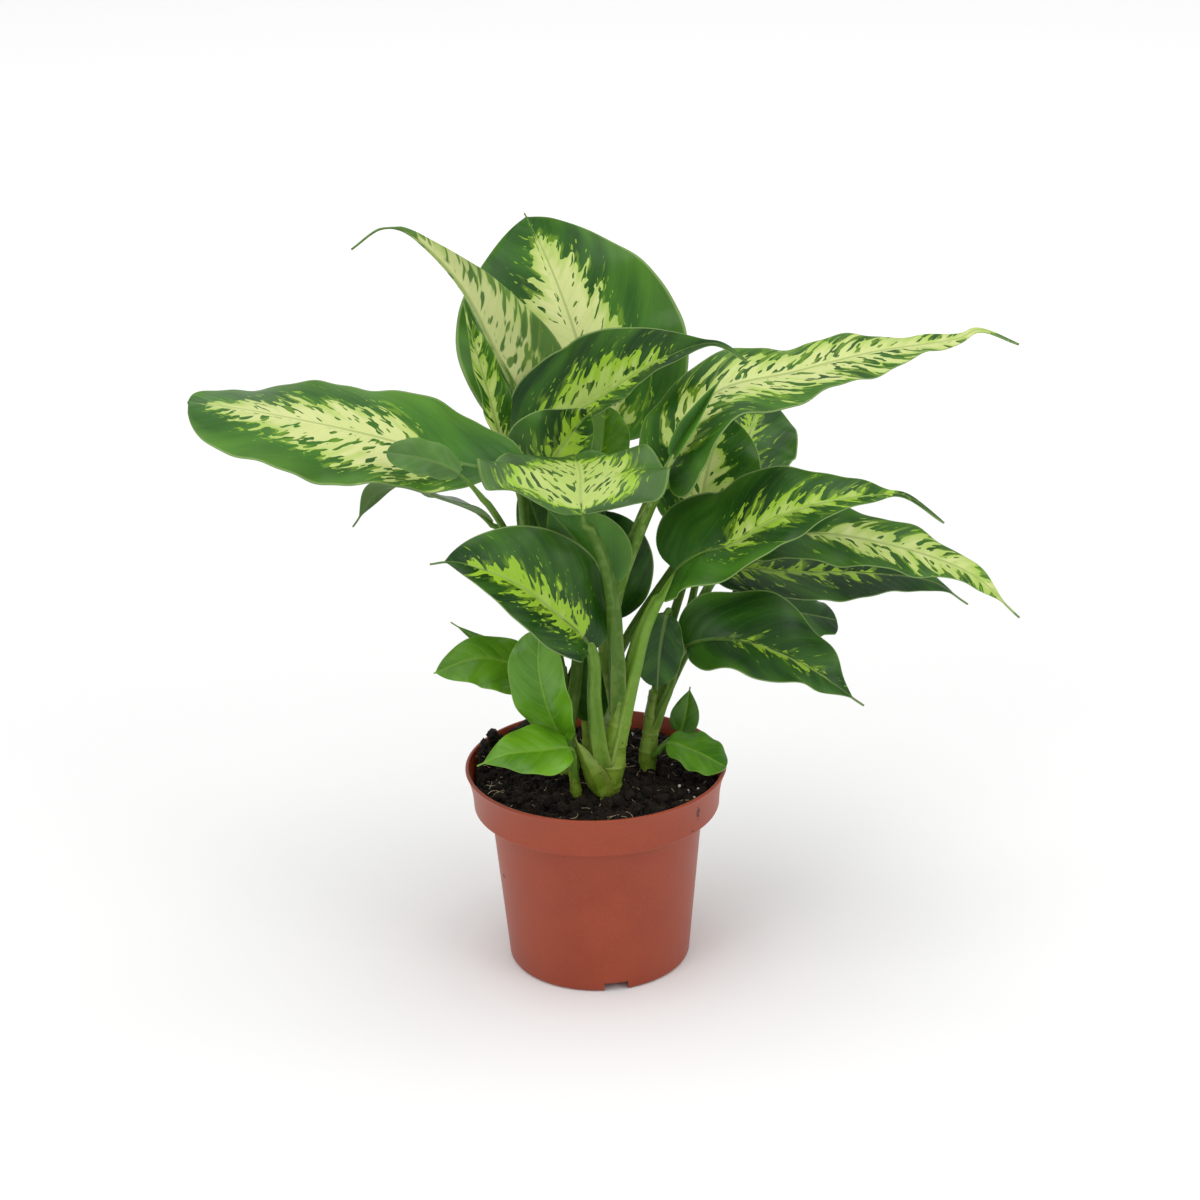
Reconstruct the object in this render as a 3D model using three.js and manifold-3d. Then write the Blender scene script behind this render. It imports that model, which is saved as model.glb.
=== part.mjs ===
// A potted dieffenbachia: a round plastic nursery pot, its soil, five short canes,
// and the variegated leaves that grow from them. Millimetres, +Z up. The origin is on
// the pot's axis, at the surface that it stands on, and the viewer is on the -Y side.
import * as THREE from "three";
import { mergeVertices } from "three/addons/utils/BufferGeometryUtils.js";
import Module from "manifold-3d";

const wasm = await Module();
wasm.setup();
const { clamp, degToRad, lerp } = THREE.MathUtils;

// ---------- driving dimensions ----------
const GAP = 0.3; // clearance between pieces that touch on the real plant
const SIDES = 40; // facets round the pot and round the soil in it
const WELD = 0.03; // points of a solid that are closer than this become one

const POT = {
  rimRadius: 60,
  height: 96,
  collarRadius: 56.4, // outside of the collar, at its lower edge
  collarHeight: 20,
  flare: 2.2, // how late the collar widens towards the rim
  bodyRadius: 48.8, // outside of the body, just under the collar
  footRadius: 42,
  wall: 1.6,
  floor: 2,
  bevel: 1.2,
  footHeight: 4.5, // how far the drained part of the floor stands above the surface
  footWall: 3,
  draft: 0.5, // slope of the walls under the floor, out of upright
  bossRadius: 24, // middle of the floor, which reaches the surface
  notchWidth: 11,
  notchTurns: [10, 130, 250], // degrees from the front, towards +X
  drainRadius: 3.5,
  drainSides: 12,
  drains: 6,
  drainTurn: 40,
};

const SOIL = {
  level: 88, // height of the surface at the wall
  heap: 5, // how much higher it lies round the canes
  heapRadius: 26,
  roughness: 1.1,
  lump: { turn: 222, radius: 46, height: 11, spread: 9 }, // heap against the rim
  clear: 0.4, // clearance to the sloping wall
  edge: 3, // how far below the level the wall's clearance is measured
  rings: 7,
};

const CANE = {
  depth: 78, // height of the canes' lower ends
  sides: 8,
  step: 7,
  swell: 0.05, // how much the rings of old leaf scars stand out
  rings: 3,
};

// Each cane: where it leaves the soil, its upper end, and its radius there and at the soil.
const CANES = {
  cane_front: { foot: [4, -16], top: [13, -18, 140], radius: [8, 5.4] },
  cane_left: { foot: [-12, -3], top: [-16, -2, 146], radius: [5.6, 4] },
  cane_back: { foot: [-2, 21], top: [-2, 22, 152], radius: [5, 3.6] },
  cane_right: { foot: [23, 4], top: [28, 5, 130], radius: [4.8, 3.4] },
  cane_young: { foot: [-9, -20], top: [-11, -23, 112], radius: [3, 2.2] },
};

const BLADE = {
  thick: 0.8,
  across: [-1, -0.55, 0, 0.55, 1], // places of the points across a blade
  step: 11, // length of a facet, within the counts below
  least: 6,
  most: 10,
  cup: -0.1, // how far the margins bend down, for each millimetre of half width
  lobe: 0.25, // how far the base's lobes reach back, for each millimetre of half width
  lobeEnd: 0.35, // share of the length where the lobes end
  round: 0.55, // roundness of the base
  point: 1, // sharpness of the tip
  tail: 0.07, // share of the length that is the thin drip tip
  tailWidth: [0.75, 0.3], // half width of the drip tip, if it ran from the base, and its end
  flare: 0, // half width that the drip tip starts with, where it is a narrow blade of its own
  waves: 3,
  fullWave: 10, // half width from which a margin waves fully
  shift: 2.1, // how far the right margin's waves lag behind the left's
};

const PETIOLE = {
  sides: 6,
  step: 14,
  least: 4,
  most: 7,
  reach: 0.16, // share of the blade that it runs on under, as the midrib
  end: 0.3, // radius where it fades into the blade
};

// Each leaf: the piece that it grows from and the height at which it leaves it, the points
// of its petiole, and the points of its midrib from the blade's base to its tip. face is the
// way that the upper side looks. A pair gives the left and the right half, seen from the
// petiole with the upper side up. half is the greatest width, fold how far a half is raised,
// in degrees, and wave how far its margin ripples. thick is the petiole's radius at both ends.
const LEAVES = {
  leaf_left_broad: {
    on: "cane_left",
    start: 136,
    petiole: [[-21, -4, 175], [-28, -6, 208]],
    blade: [[-33, -8, 237], [-60, -12, 248], [-88, -16, 260], [-144, -22, 276], [-170, -24, 281]],
    half: [40, 36], face: [0.25, -0.45, 0.86], fold: [-4, 16], foldTip: [24, -30], wave: 2.2,
    round: [1.1, 0.42], point: 0.4, tail: 0, blunt: [0.5, 0.3], thick: [3, 2.2],
  },
  leaf_left_small: {
    on: "cane_left",
    start: 126,
    petiole: [[-20, -14, 165], [-39, -34, 228]],
    blade: [[-55, -43, 253], [-63, -44, 258], [-71, -45, 261], [-79, -46, 263], [-85, -46, 264]],
    half: [8, 9], face: [0, -0.7, 0.7], fold: [10, 10], wave: 1, point: 0.5, tail: 0, blunt: 0.45,
    thick: [2, 1.5],
  },
  leaf_left_droop: {
    on: "cane_left",
    start: 118,
    petiole: [[-23, 4, 154], [-34, 6, 194]],
    blade: [[-44, 8, 212], [-68, 22, 219], [-93, 34, 220], [-109, 40, 199]],
    half: [14, 14], face: [0, 0.5, 0.85], fold: [10, 10], wave: 1.5, thick: [2, 1.5],
  },
  leaf_upper_left: {
    on: "cane_back",
    start: 142,
    petiole: [[-8, 34, 180], [-20, 50, 220]],
    blade: [
      [-32, 57, 254], [-44, 56, 282], [-55, 54, 306], [-69, 51, 325], [-81, 47, 336], [-90, 45, 337],
      [-103, 41, 329],
    ],
    half: [28, 12], face: [-0.3, 0.9, 0.1], fold: [8, 85], wave: 1.5, round: 0.3, point: [2.1, 1.7],
    thick: [2.6, 2],
  },
  leaf_upper_narrow: {
    on: "cane_back",
    start: 130,
    petiole: [[-14, 24, 170], [-30, 27, 215]],
    blade: [[-39, 28, 241], [-45, 30, 266], [-51, 30, 292], [-54, 30, 308]],
    half: [7, 11], face: [0.75, -0.6, 0.1], fold: [20, 20], wave: 1, thick: [1.8, 1.4],
  },
  leaf_top: {
    on: "cane_back",
    start: 146,
    petiole: [[1, 38, 180], [6, 57, 208]],
    blade: [[7, 68, 228], [-5, 82, 274], [-18, 100, 307], [-28, 110, 326]],
    half: [56, 50], face: [0.05, -0.85, 0.5], fold: [8, 8], wave: 2.5, point: [0.62, 0.85],
    tail: 0.02, thick: [3, 2.2],
  },
  leaf_upper_mid: {
    on: "cane_back",
    start: 122,
    petiole: [[-10, 32, 170], [-22, 38, 208]],
    blade: [[-27, 38, 237], [1, 26, 260], [33, 4, 287], [55, -14, 299], [68, -24, 294]],
    half: [32, 14], face: [-0.2, -0.75, 0.6], fold: [8, 40], wave: 1.5, point: [1.3, 0.8],
    tail: 0.14, flare: 2, thick: [2.6, 2],
  },
  leaf_mid_back: {
    on: "cane_back",
    start: 112,
    petiole: [[-9, 16, 150], [-19, 17, 195]],
    blade: [[-19, 18, 227], [-15, 15, 239], [-2, 9, 259], [3, 5, 266]],
    half: [24, 18], face: [-0.2, -0.95, 0.2], fold: [10, 10], wave: 1, round: 0.4, thick: [2, 1.6],
  },
  leaf_mid_young: {
    on: "cane_back",
    start: 148,
    petiole: [[3, 28, 180], [4, 33, 205]],
    blade: [[4, 34, 224], [6, 36, 240], [8, 40, 257]],
    half: [13, 13], face: [0.1, -0.9, -0.2], fold: [20, 20], wave: 1, point: 0.6, thick: [2, 1.6],
    young: true,
  },
  leaf_centre: {
    on: "cane_front",
    start: 126,
    petiole: [[10, -25, 158], [8, -36, 197], [3, -43, 220]],
    blade: [[-3, -47, 235], [-4, -34, 240], [-4, -18, 243], [-7, 8, 243]],
    half: [46, 40], face: [0, -0.35, 0.93], fold: [16, 16], wave: 3, round: [0.6, 0.4], point: 0.8,
    tail: 0.04, lobe: [0, 0.2], thick: [4.2, 2.4],
  },
  leaf_right_long: {
    on: "cane_front",
    start: 130,
    petiole: [[7, -14, 160], [10, -14, 184], [24, -13, 222]],
    blade: [
      [34, -12, 243], [42, -12, 262], [57, -8, 276], [89, 0, 281], [125, 8, 287], [163, 16, 290],
      [171, 18, 293], [190, 22, 285],
    ],
    half: [22, 28], face: [-0.2, -0.3, 0.93], fold: [14, 10], wave: 2, waves: 4,
    round: [0.2, 0.3], point: 0.85, tail: 0.14, lobe: 0.6, flare: 2.4, thick: [4.4, 3],
  },
  leaf_spear: {
    on: "leaf_right_long",
    start: 218,
    petiole: [[29, -17, 234]],
    blade: [[36, -22, 251], [48, -26, 273], [57, -28, 289]],
    half: [6, 6], face: [-0.4, -0.8, 0.4], fold: [50, 50], wave: 0, thick: [1.8, 1.6], young: true,
  },
  leaf_right_upright: {
    on: "cane_right",
    start: 122,
    petiole: [[33, 12, 150], [42, 20, 178]],
    blade: [[48, 24, 200], [53, 30, 226], [63, 42, 252]],
    half: [26, 26], face: [-0.2, -0.9, 0.35], fold: [10, 10], wave: 1.5, point: 0.6,
    thick: [2.4, 1.8],
  },
  leaf_right_back: {
    on: "cane_back",
    start: 106,
    petiole: [[12, 26, 140], [42, 31, 186]],
    blade: [[63, 34, 215], [73, 60, 230], [81, 84, 245]],
    half: [28, 24], face: [0, -0.6, 0.8], fold: [10, 10], wave: 2, point: 0.6, thick: [2.4, 1.8],
  },
  leaf_right_front: {
    on: "cane_front",
    start: 106,
    petiole: [[17, -21, 150], [24, -24, 176]],
    blade: [
      [37, -26, 200], [47, -29, 209], [61, -32, 214], [80, -36, 227], [98, -40, 235], [122, -42, 239],
      [133, -42, 239], [151, -42, 226],
    ],
    half: [30, 22], face: [-0.1, -0.4, 0.92], fold: [24, 12], wave: 2, round: 0.36, tail: 0.2,
    lobe: [0.3, 0.9], flare: 2, thick: [5.6, 2.8],
  },
  leaf_right_droop: {
    on: "cane_right",
    start: 112,
    petiole: [[38, 3, 150], [54, 7, 182]],
    blade: [[65, 6, 199], [97, 0, 206], [126, -4, 203], [167, -8, 189], [190, -10, 168]],
    half: [15, 18], face: [0.1, -0.5, 0.85], fold: [12, 12], wave: 2, waves: 4, thick: [2.6, 2],
  },
  leaf_right_shade: {
    on: "cane_right",
    start: 104,
    petiole: [[34, 14, 134], [44, 18, 164]],
    blade: [[51, 20, 181], [92, 26, 177], [123, 34, 173], [157, 42, 165], [175, 48, 151]],
    half: [18, 18], face: [0, -0.45, 0.89], fold: [8, 8], wave: 1.5, thick: [2.2, 1.6],
  },
  leaf_right_blunt: {
    on: "cane_right",
    start: 98,
    petiole: [[35, 20, 124], [50, 32, 147]],
    blade: [[66, 40, 158], [88, 56, 147], [116, 72, 134]],
    half: [16, 16], face: [0.1, -0.6, 0.8], fold: [8, 8], wave: 1, point: 0.5, blunt: 0.6,
    thick: [2, 1.5],
  },
  leaf_right_low: {
    on: "cane_right",
    start: 108,
    petiole: [[33, -2, 130]],
    blade: [[42, -5, 155], [65, -14, 161], [92, -20, 152], [120, -24, 133]],
    half: [26, 18], face: [0.1, -0.4, 0.9], fold: [50, -4], foldTip: [10, 10], wave: 2,
    thick: [2.2, 1.6],
  },
  leaf_right_hang: {
    on: "cane_right",
    start: 122,
    petiole: [[31, 4, 146], [34, 2, 164], [34, -3, 172]],
    blade: [[33, -8, 172], [30, -12, 160], [28, -13, 137]],
    half: [11, 11], face: [0.2, -0.95, 0.1], fold: [8, 8], wave: 1, point: 0.5, thick: [1.8, 1.4],
  },
  leaf_low_upright: {
    on: "cane_right",
    start: 94,
    petiole: [[33, 12, 100]],
    blade: [[39, 14, 104], [42, 16, 113], [44, 18, 125]],
    half: [7, 7], face: [-0.2, -0.9, 0.2], fold: [15, 15], wave: 0, thick: [1.6, 1.2], young: true,
  },
  leaf_low_right: {
    on: "cane_right",
    start: 95,
    petiole: [[28, -1, 101]],
    blade: [[33, -4, 107], [46, -8, 104], [59, -12, 98]],
    half: [12, 12], face: [0.2, -0.4, 0.9], fold: [8, 8], wave: 1, point: 0.5, tail: 0,
    thick: [1.6, 1.2], young: true,
  },
  leaf_front_left: {
    on: "cane_front",
    start: 94,
    petiole: [[2, -23, 112], [0, -28, 138]],
    blade: [
      [-1, -32, 166], [-16, -44, 189], [-29, -50, 203], [-42, -54, 212], [-59, -58, 219],
      [-68, -60, 219],
    ],
    half: [20, 30], face: [0.05, -0.85, 0.5], fold: [38, 4], wave: 1.5, round: 0.65, point: 0.85,
    thick: [4.4, 2.6],
  },
  leaf_under_centre: {
    on: "cane_left",
    start: 108,
    petiole: [[-9, -8, 135], [-6, -11, 160], [-1, -15, 180]],
    blade: [[3, -19, 192], [-5, -24, 212], [-20, -29, 233]],
    half: [20, 20], face: [-0.1, -0.8, 0.5], fold: [10, 10], wave: 1, thick: [3.4, 2],
  },
  leaf_inner_back: {
    on: "cane_back",
    start: 100,
    petiole: [[3, 14, 130], [5, 8, 150]],
    blade: [[6, 5, 166], [8, 3, 196], [6, 2, 222]],
    half: [20, 20], face: [0, -0.95, 0.2], fold: [8, 8], wave: 1, point: 0.6, thick: [2.2, 1.6],
  },
  leaf_inner_left: {
    on: "cane_left",
    start: 108,
    petiole: [[-18, 5, 130], [-19, 5, 160]],
    blade: [[-20, 5, 184], [-22, 5, 206], [-30, 6, 232]],
    half: [10, 14], face: [0, -0.9, 0.3], fold: [8, 8], wave: 1, point: 0.6, thick: [2, 1.5],
  },
  leaf_inner_low: {
    on: "cane_back",
    start: 94,
    petiole: [[0, 13, 104]],
    blade: [[-1, 8, 114], [-3, 4, 132], [-2, 0, 156]],
    half: [10, 12], face: [0, -0.95, 0.1], fold: [15, 15], wave: 1, point: 0.6, thick: [2, 1.5],
  },
  leaf_low_left: {
    on: "cane_young",
    start: 108,
    petiole: [[-12, -19, 120], [-17, -16, 136]],
    blade: [[-23, -15, 145], [-36, -16, 153], [-52, -18, 157], [-71, -22, 152]],
    half: [15, 11], face: [0.1, -0.75, 0.65], fold: [10, 10], wave: 1, point: 0.75, tail: 0.02,
    thick: [1.6, 1.2], young: true,
  },
  leaf_low_drip: {
    on: "cane_left",
    start: 104,
    petiole: [[-17, 0, 120]],
    blade: [[-22, 4, 135], [-42, 12, 146], [-65, 22, 158]],
    half: [5, 5], face: [0, -0.5, 0.85], fold: [10, 10], wave: 1, thick: [1.6, 1.2], young: true,
  },
  leaf_low_twist: {
    on: "cane_young",
    start: 104,
    petiole: [[-13, -24, 114]],
    blade: [[-15, -27, 121], [-21, -33, 141], [-24, -36, 161], [-23, -33, 176]],
    half: [15, 17], face: [-0.3, -0.9, 0], fold: [12, 30], wave: 1.5, point: 0.45, tail: 0,
    thick: [1.6, 1.2], young: true,
  },
  leaf_low_front: {
    on: "cane_young",
    start: 97,
    petiole: [[-10, -29, 114]],
    blade: [[-12, -37, 121], [-24, -43, 123], [-40, -49, 124], [-52, -51, 120]],
    half: [13, 13], face: [0, -0.6, 0.8], fold: [8, 8], wave: 1, thick: [1.6, 1.2], young: true,
  },
};

// ---------- colours ----------
const LOOKS = {
  pot: { color: 0xb5573f, roughness: 0.55 },
  soil: { color: 0x2a211b, roughness: 0.95 },
  cane: { color: 0x6d8f3c, roughness: 0.5 },
  leaf: { color: 0x2f6a2c, roughness: 0.42 },
  young: { color: 0x4f9a2c, roughness: 0.42 },
};

// ---------- solids ----------
const vec = (p) => new THREE.Vector3(...p);

function solid(geometry) {
  const bare = geometry.index ? geometry.toNonIndexed() : geometry.clone();
  bare.deleteAttribute("normal");
  bare.deleteAttribute("uv");
  const merged = mergeVertices(bare, 1e-4);
  return new wasm.Manifold(
    new wasm.Mesh({
      numProp: 3,
      vertProperties: merged.attributes.position.array,
      triVerts: new Uint32Array(merged.index.array),
    }),
  );
}

// A solid's geometry. Cuts leave a few points closer than WELD, which become one.
function geometryOf(manifold) {
  const { vertProperties, triVerts } = manifold.getMesh();
  const points = [];
  for (let i = 0; i < vertProperties.length; i += 3) points.push(vec(vertProperties.slice(i, i + 3)));
  const joined = points.map((_, i) => i);
  const head = (i) => (joined[i] === i ? i : head(joined[i]));
  for (let i = 0; i < triVerts.length; i += 3)
    for (let k = 0; k < 3; k++) {
      const [a, b] = [triVerts[i + k], triVerts[i + ((k + 1) % 3)]];
      if (points[a].distanceTo(points[b]) < WELD) joined[head(a)] = head(b);
    }
  const faces = new Map();
  for (let i = 0; i < triVerts.length; i += 3) {
    const face = [...triVerts.slice(i, i + 3)].map(head);
    const key = face.toSorted((a, b) => a - b).join();
    if (new Set(face).size < 3) continue;
    if (faces.has(key)) faces.delete(key);
    else faces.set(key, face);
  }
  const geometry = new THREE.BufferGeometry().setFromPoints(points);
  geometry.setIndex([...faces.values()].flat());
  return geometry;
}

// The largest piece of a solid that a cut has left in several.
function largest(manifold) {
  return manifold.decompose().reduce((a, b) => (b.volume() > a.volume() ? b : a));
}

function indexed(points, faces) {
  const geometry = new THREE.BufferGeometry().setFromPoints(points);
  geometry.setIndex(faces);
  return solid(geometry);
}

// A closed solid through rings of points, all of the same count, capped at both ends.
function loft(rings) {
  const count = rings[0].length;
  const faces = [];
  for (let r = 0; r + 1 < rings.length; r++)
    for (let i = 0; i < count; i++) {
      const a = r * count + i;
      const b = r * count + ((i + 1) % count);
      faces.push(a, b, b + count, a, b + count, a + count);
    }
  const last = (rings.length - 1) * count;
  for (let i = 1; i + 1 < count; i++) faces.push(0, i + 1, i, last, last + i, last + i + 1);
  return indexed(rings.flat(), faces);
}

// ---------- curves ----------
// Places at even spacing along part of a smooth line, each with its direction. Their
// spacing is about step, with a count from least to most.
function stations(points, from, to, { step, least = 1, most = 60 }) {
  const curve = new THREE.CatmullRomCurve3(points);
  const fine = 200;
  const place = (i) => curve.getPoint(from + ((to - from) * i) / fine);
  const walk = [0];
  for (let i = 1; i <= fine; i++) walk.push(walk[i - 1] + place(i).distanceTo(place(i - 1)));
  const count = clamp(Math.round(walk[fine] / step), least, most);
  return Array.from({ length: count + 1 }, (_, k) => {
    const want = (walk[fine] * k) / count;
    let i = 1;
    while (i < fine && walk[i] < want) i++;
    const share = i - 1 + (want - walk[i - 1]) / (walk[i] - walk[i - 1]);
    const t = from + ((to - from) * share) / fine;
    return { u: k / count, at: curve.getPoint(t), along: curve.getTangent(t) };
  });
}

// The upper side's direction and the right-hand side's, square to the line.
function frameAt(face, along) {
  const up = face.clone().addScaledVector(along, -face.dot(along)).normalize();
  return { up, side: along.clone().cross(up) };
}

// A round tube along places. Its radius and how far it lies below them depend on u.
function tube(places, sides, face, radius, below = () => 0) {
  const rings = places.map(({ u, at, along }) => {
    const { up, side } = frameAt(face, along);
    return Array.from({ length: sides }, (_, k) => {
      const turn = (2 * Math.PI * k) / sides;
      return at
        .clone()
        .addScaledVector(up, Math.cos(turn) * radius(u) - below(u))
        .addScaledVector(side, Math.sin(turn) * radius(u));
    });
  });
  return loft(rings);
}

// ---------- pot and soil ----------
const UNDER = POT.height - POT.collarHeight; // height of the collar's lower edge

// Outside radius of the collar, at share t of its height.
const collarAt = (t) => POT.collarRadius + (POT.rimRadius - POT.collarRadius) * t ** POT.flare;
const COLLAR_POINTS = [0.4, 0.7];

function potProfile() {
  const p = POT;
  const deck = p.footHeight + p.floor;
  const drained = p.footRadius - p.footWall;
  const outside = [
    [p.bossRadius, 0],
    [p.bossRadius + p.draft, p.footHeight],
    [drained - p.draft, p.footHeight],
    [drained, 0],
    [p.footRadius - p.bevel, 0],
    [p.footRadius, p.bevel],
    [p.bodyRadius, UNDER],
    [p.collarRadius - p.bevel, UNDER],
    [p.collarRadius, UNDER + p.bevel],
    ...COLLAR_POINTS.map((t) => [collarAt(t), UNDER + t * p.collarHeight]),
    [p.rimRadius, p.height - p.bevel / 2],
    [p.rimRadius - p.bevel / 2, p.height],
  ];
  const inside = [
    [p.rimRadius - p.wall, p.height],
    ...COLLAR_POINTS.toReversed().map((t) => [collarAt(t) - p.wall, UNDER + t * p.collarHeight]),
    [p.collarRadius - p.wall, UNDER + p.floor],
    [p.bodyRadius - p.wall, UNDER],
    [p.footRadius - p.wall, deck + p.bevel],
    [p.footRadius - p.wall - p.bevel, deck],
    [p.bossRadius - p.draft, deck],
    [p.bossRadius - p.floor - p.draft, p.floor],
  ];
  return { outside, inside };
}

// A point at a turn from the front, in degrees, towards +X.
function turnTo(degrees, radius) {
  const a = degToRad(degrees);
  return { a, x: Math.sin(a) * radius, y: -Math.cos(a) * radius };
}

function potSolid() {
  const { outside, inside } = potProfile();
  const profile = [[0, 0], ...outside, ...inside, [0, POT.floor]];
  const points = profile.map(([r, z]) => new THREE.Vector2(r, z));
  let pot = solid(new THREE.LatheGeometry(points, SIDES).rotateX(Math.PI / 2));
  for (const turn of POT.notchTurns) {
    const { a, x, y } = turnTo(turn, POT.footRadius);
    const notch = new THREE.BoxGeometry(POT.notchWidth, POT.footWall * 4, POT.footHeight * 2);
    pot = pot.subtract(solid(notch.rotateZ(a).translate(x, y, 0)));
  }
  const middle = (POT.bossRadius + POT.footRadius - POT.footWall) / 2;
  for (let i = 0; i < POT.drains; i++) {
    const { x, y } = turnTo((360 / POT.drains) * i + POT.drainTurn, middle);
    const { drainRadius, drainSides, footHeight } = POT;
    const drain = new THREE.CylinderGeometry(drainRadius, drainRadius, footHeight * 4, drainSides);
    pot = pot.subtract(solid(drain.rotateX(Math.PI / 2).translate(x, y, 0)));
  }
  return pot;
}

function soilHeight(x, y) {
  const { level, heap, heapRadius, lump, roughness } = SOIL;
  const middle = heap * Math.exp(-((x * x + y * y) / heapRadius ** 2));
  const at = turnTo(lump.turn, lump.radius);
  const away = ((x - at.x) ** 2 + (y - at.y) ** 2) / lump.spread ** 2;
  const crumbs = Math.sin(x * 0.83 + 1.3) * Math.cos(y * 0.71) + Math.sin(x * 0.37 - y * 0.53 + 2);
  return level + middle + lump.height * Math.exp(-away) + roughness * crumbs;
}

function soilSolid() {
  const brim = SOIL.level - SOIL.edge;
  const edge = collarAt((brim - UNDER) / POT.collarHeight) - POT.wall - SOIL.clear;
  const wall = potProfile().inside.filter(([, z]) => z + GAP < brim);
  const rings = wall.toReversed().map(([r, z]) => [r - SOIL.clear, () => z + GAP]);
  for (let i = 0; i < SOIL.rings; i++) rings.push([edge * (1 - i / SOIL.rings), soilHeight]);
  const points = [new THREE.Vector3(0, 0, POT.floor + GAP)];
  for (const [r, height] of rings)
    for (let k = 0; k < SIDES; k++) {
      const { x, y } = turnTo((360 / SIDES) * k, r);
      points.push(new THREE.Vector3(x, y, height(x, y)));
    }
  points.push(new THREE.Vector3(0, 0, soilHeight(0, 0)));
  const faces = [];
  const top = points.length - 1;
  for (let k = 0; k < SIDES; k++) {
    const next = (k + 1) % SIDES;
    faces.push(0, 1 + next, 1 + k);
    for (let r = 0; r + 1 < rings.length; r++) {
      const a = 1 + r * SIDES;
      faces.push(a + k, a + next, a + SIDES + next, a + k, a + SIDES + next, a + SIDES + k);
    }
    faces.push(top - SIDES + k, top - SIDES + next, top);
  }
  return indexed(points, faces);
}

// ---------- canes, petioles and blades ----------
function caneSolid({ foot: [x, y], top, radius: [thick, thin] }, grow) {
  const points = [[x, y, CANE.depth - grow], [x, y, SOIL.level], top].map(vec);
  points[2].z += grow;
  const radius = (u) => lerp(thick, thin, u) * (1 + CANE.swell * Math.sin(2 * Math.PI * CANE.rings * u));
  return tube(stations(points, 0, 1, CANE), CANE.sides, vec([0, -1, 0]), (u) => radius(u) + grow);
}

// A point on a cane's middle line.
function caneMiddle({ foot, top }, z) {
  const share = Math.max(0, (z - SOIL.level) / (top[2] - SOIL.level));
  return new THREE.Vector3(lerp(foot[0], top[0], share), lerp(foot[1], top[1], share), z);
}

// A leaf's whole line, and the share of it where the blade starts.
function leafLine(leaf, root) {
  const points = [root, ...leaf.petiole.map(vec), ...leaf.blade.map(vec)];
  return { points, collar: (1 + leaf.petiole.length) / (points.length - 1) };
}

function petioleSolid(leaf, root, grow) {
  const { points, collar } = leafLine(leaf, root);
  const end = collar + (1 - collar) * PETIOLE.reach;
  const [foot, top] = leaf.thick;
  const radius = (u) => {
    const past = Math.max(0, (u * end - collar) / (end - collar));
    return lerp(lerp(foot, top, Math.min(1, (u * end) / collar)), PETIOLE.end, past);
  };
  const below = (u) => (u * end > collar ? radius(u) - PETIOLE.end : 0);
  const places = stations(points, 0, end, PETIOLE);
  return tube(places, PETIOLE.sides, vec(leaf.face), (u) => radius(u) + grow, below);
}

// A point on a petiole's middle line.
function petioleMiddle(leaf, root, z) {
  const { points, collar } = leafLine(leaf, root);
  const away = (place) => Math.abs(place.at.z - z);
  return stations(points, 0, collar, { step: 1 }).reduce((a, b) => (away(b) < away(a) ? b : a)).at;
}

// A value that a leaf gives for both halves, or for the left and the right one.
const forSide = (value, right) => (Array.isArray(value) ? value[right] : value);

// Half width of a blade, from 0 to 1, at share u of its length from the base to the tip.
function outline(u, leaf, right) {
  const sharp = forSide(leaf.point, right);
  const round = forSide(leaf.round, right);
  const shape = (v) => v ** round * (1 - v) ** sharp;
  const widest = round / (round + sharp);
  const v = Math.min(1, u / (1 - leaf.tail));
  const blunt = v > widest ? forSide(leaf.blunt ?? 0, right) : 0;
  return Math.max(shape(v) / shape(widest), blunt);
}

// Half width that a blade keeps all along, and so that of its drip tip.
function leastHalf(u, leaf) {
  const flare = leaf.flare * u * Math.sqrt(Math.min(1, (1 - u) / (leaf.tail + 0.01)));
  return Math.max(lerp(...BLADE.tailWidth, u), flare);
}

// The points across a blade at one place of its midrib, at mid thickness, and the way that
// each one's upper side looks.
function bladeRow({ u, at, along }, { up, side }, leaf) {
  return BLADE.across.map((s) => {
    const right = s > 0 ? 1 : 0;
    const half = Math.hypot(leaf.half[right] * outline(u, leaf, right), leastHalf(u, leaf));
    const w = Math.abs(s) * half;
    const lean = degToRad(lerp(leaf.fold[right], (leaf.foldTip ?? leaf.fold)[right], u));
    const turn = 2 * Math.PI * leaf.waves * u + right * BLADE.shift;
    const ripple = leaf.wave * Math.sin(turn) * Math.min(1, half / BLADE.fullWave);
    const swept = forSide(leaf.lobe, right) * w * Math.max(0, 1 - u / BLADE.lobeEnd);
    const point = at
      .clone()
      .addScaledVector(side, Math.sign(s) * w * Math.cos(lean))
      .addScaledVector(up, w * Math.sin(lean) + s * s * (BLADE.cup * half + ripple))
      .addScaledVector(along, -swept);
    const over = up.clone().multiplyScalar(s === 0 ? 1 : Math.cos(lean));
    return { point, over: over.addScaledVector(side, -Math.sign(s) * Math.sin(lean)) };
  });
}

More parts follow.
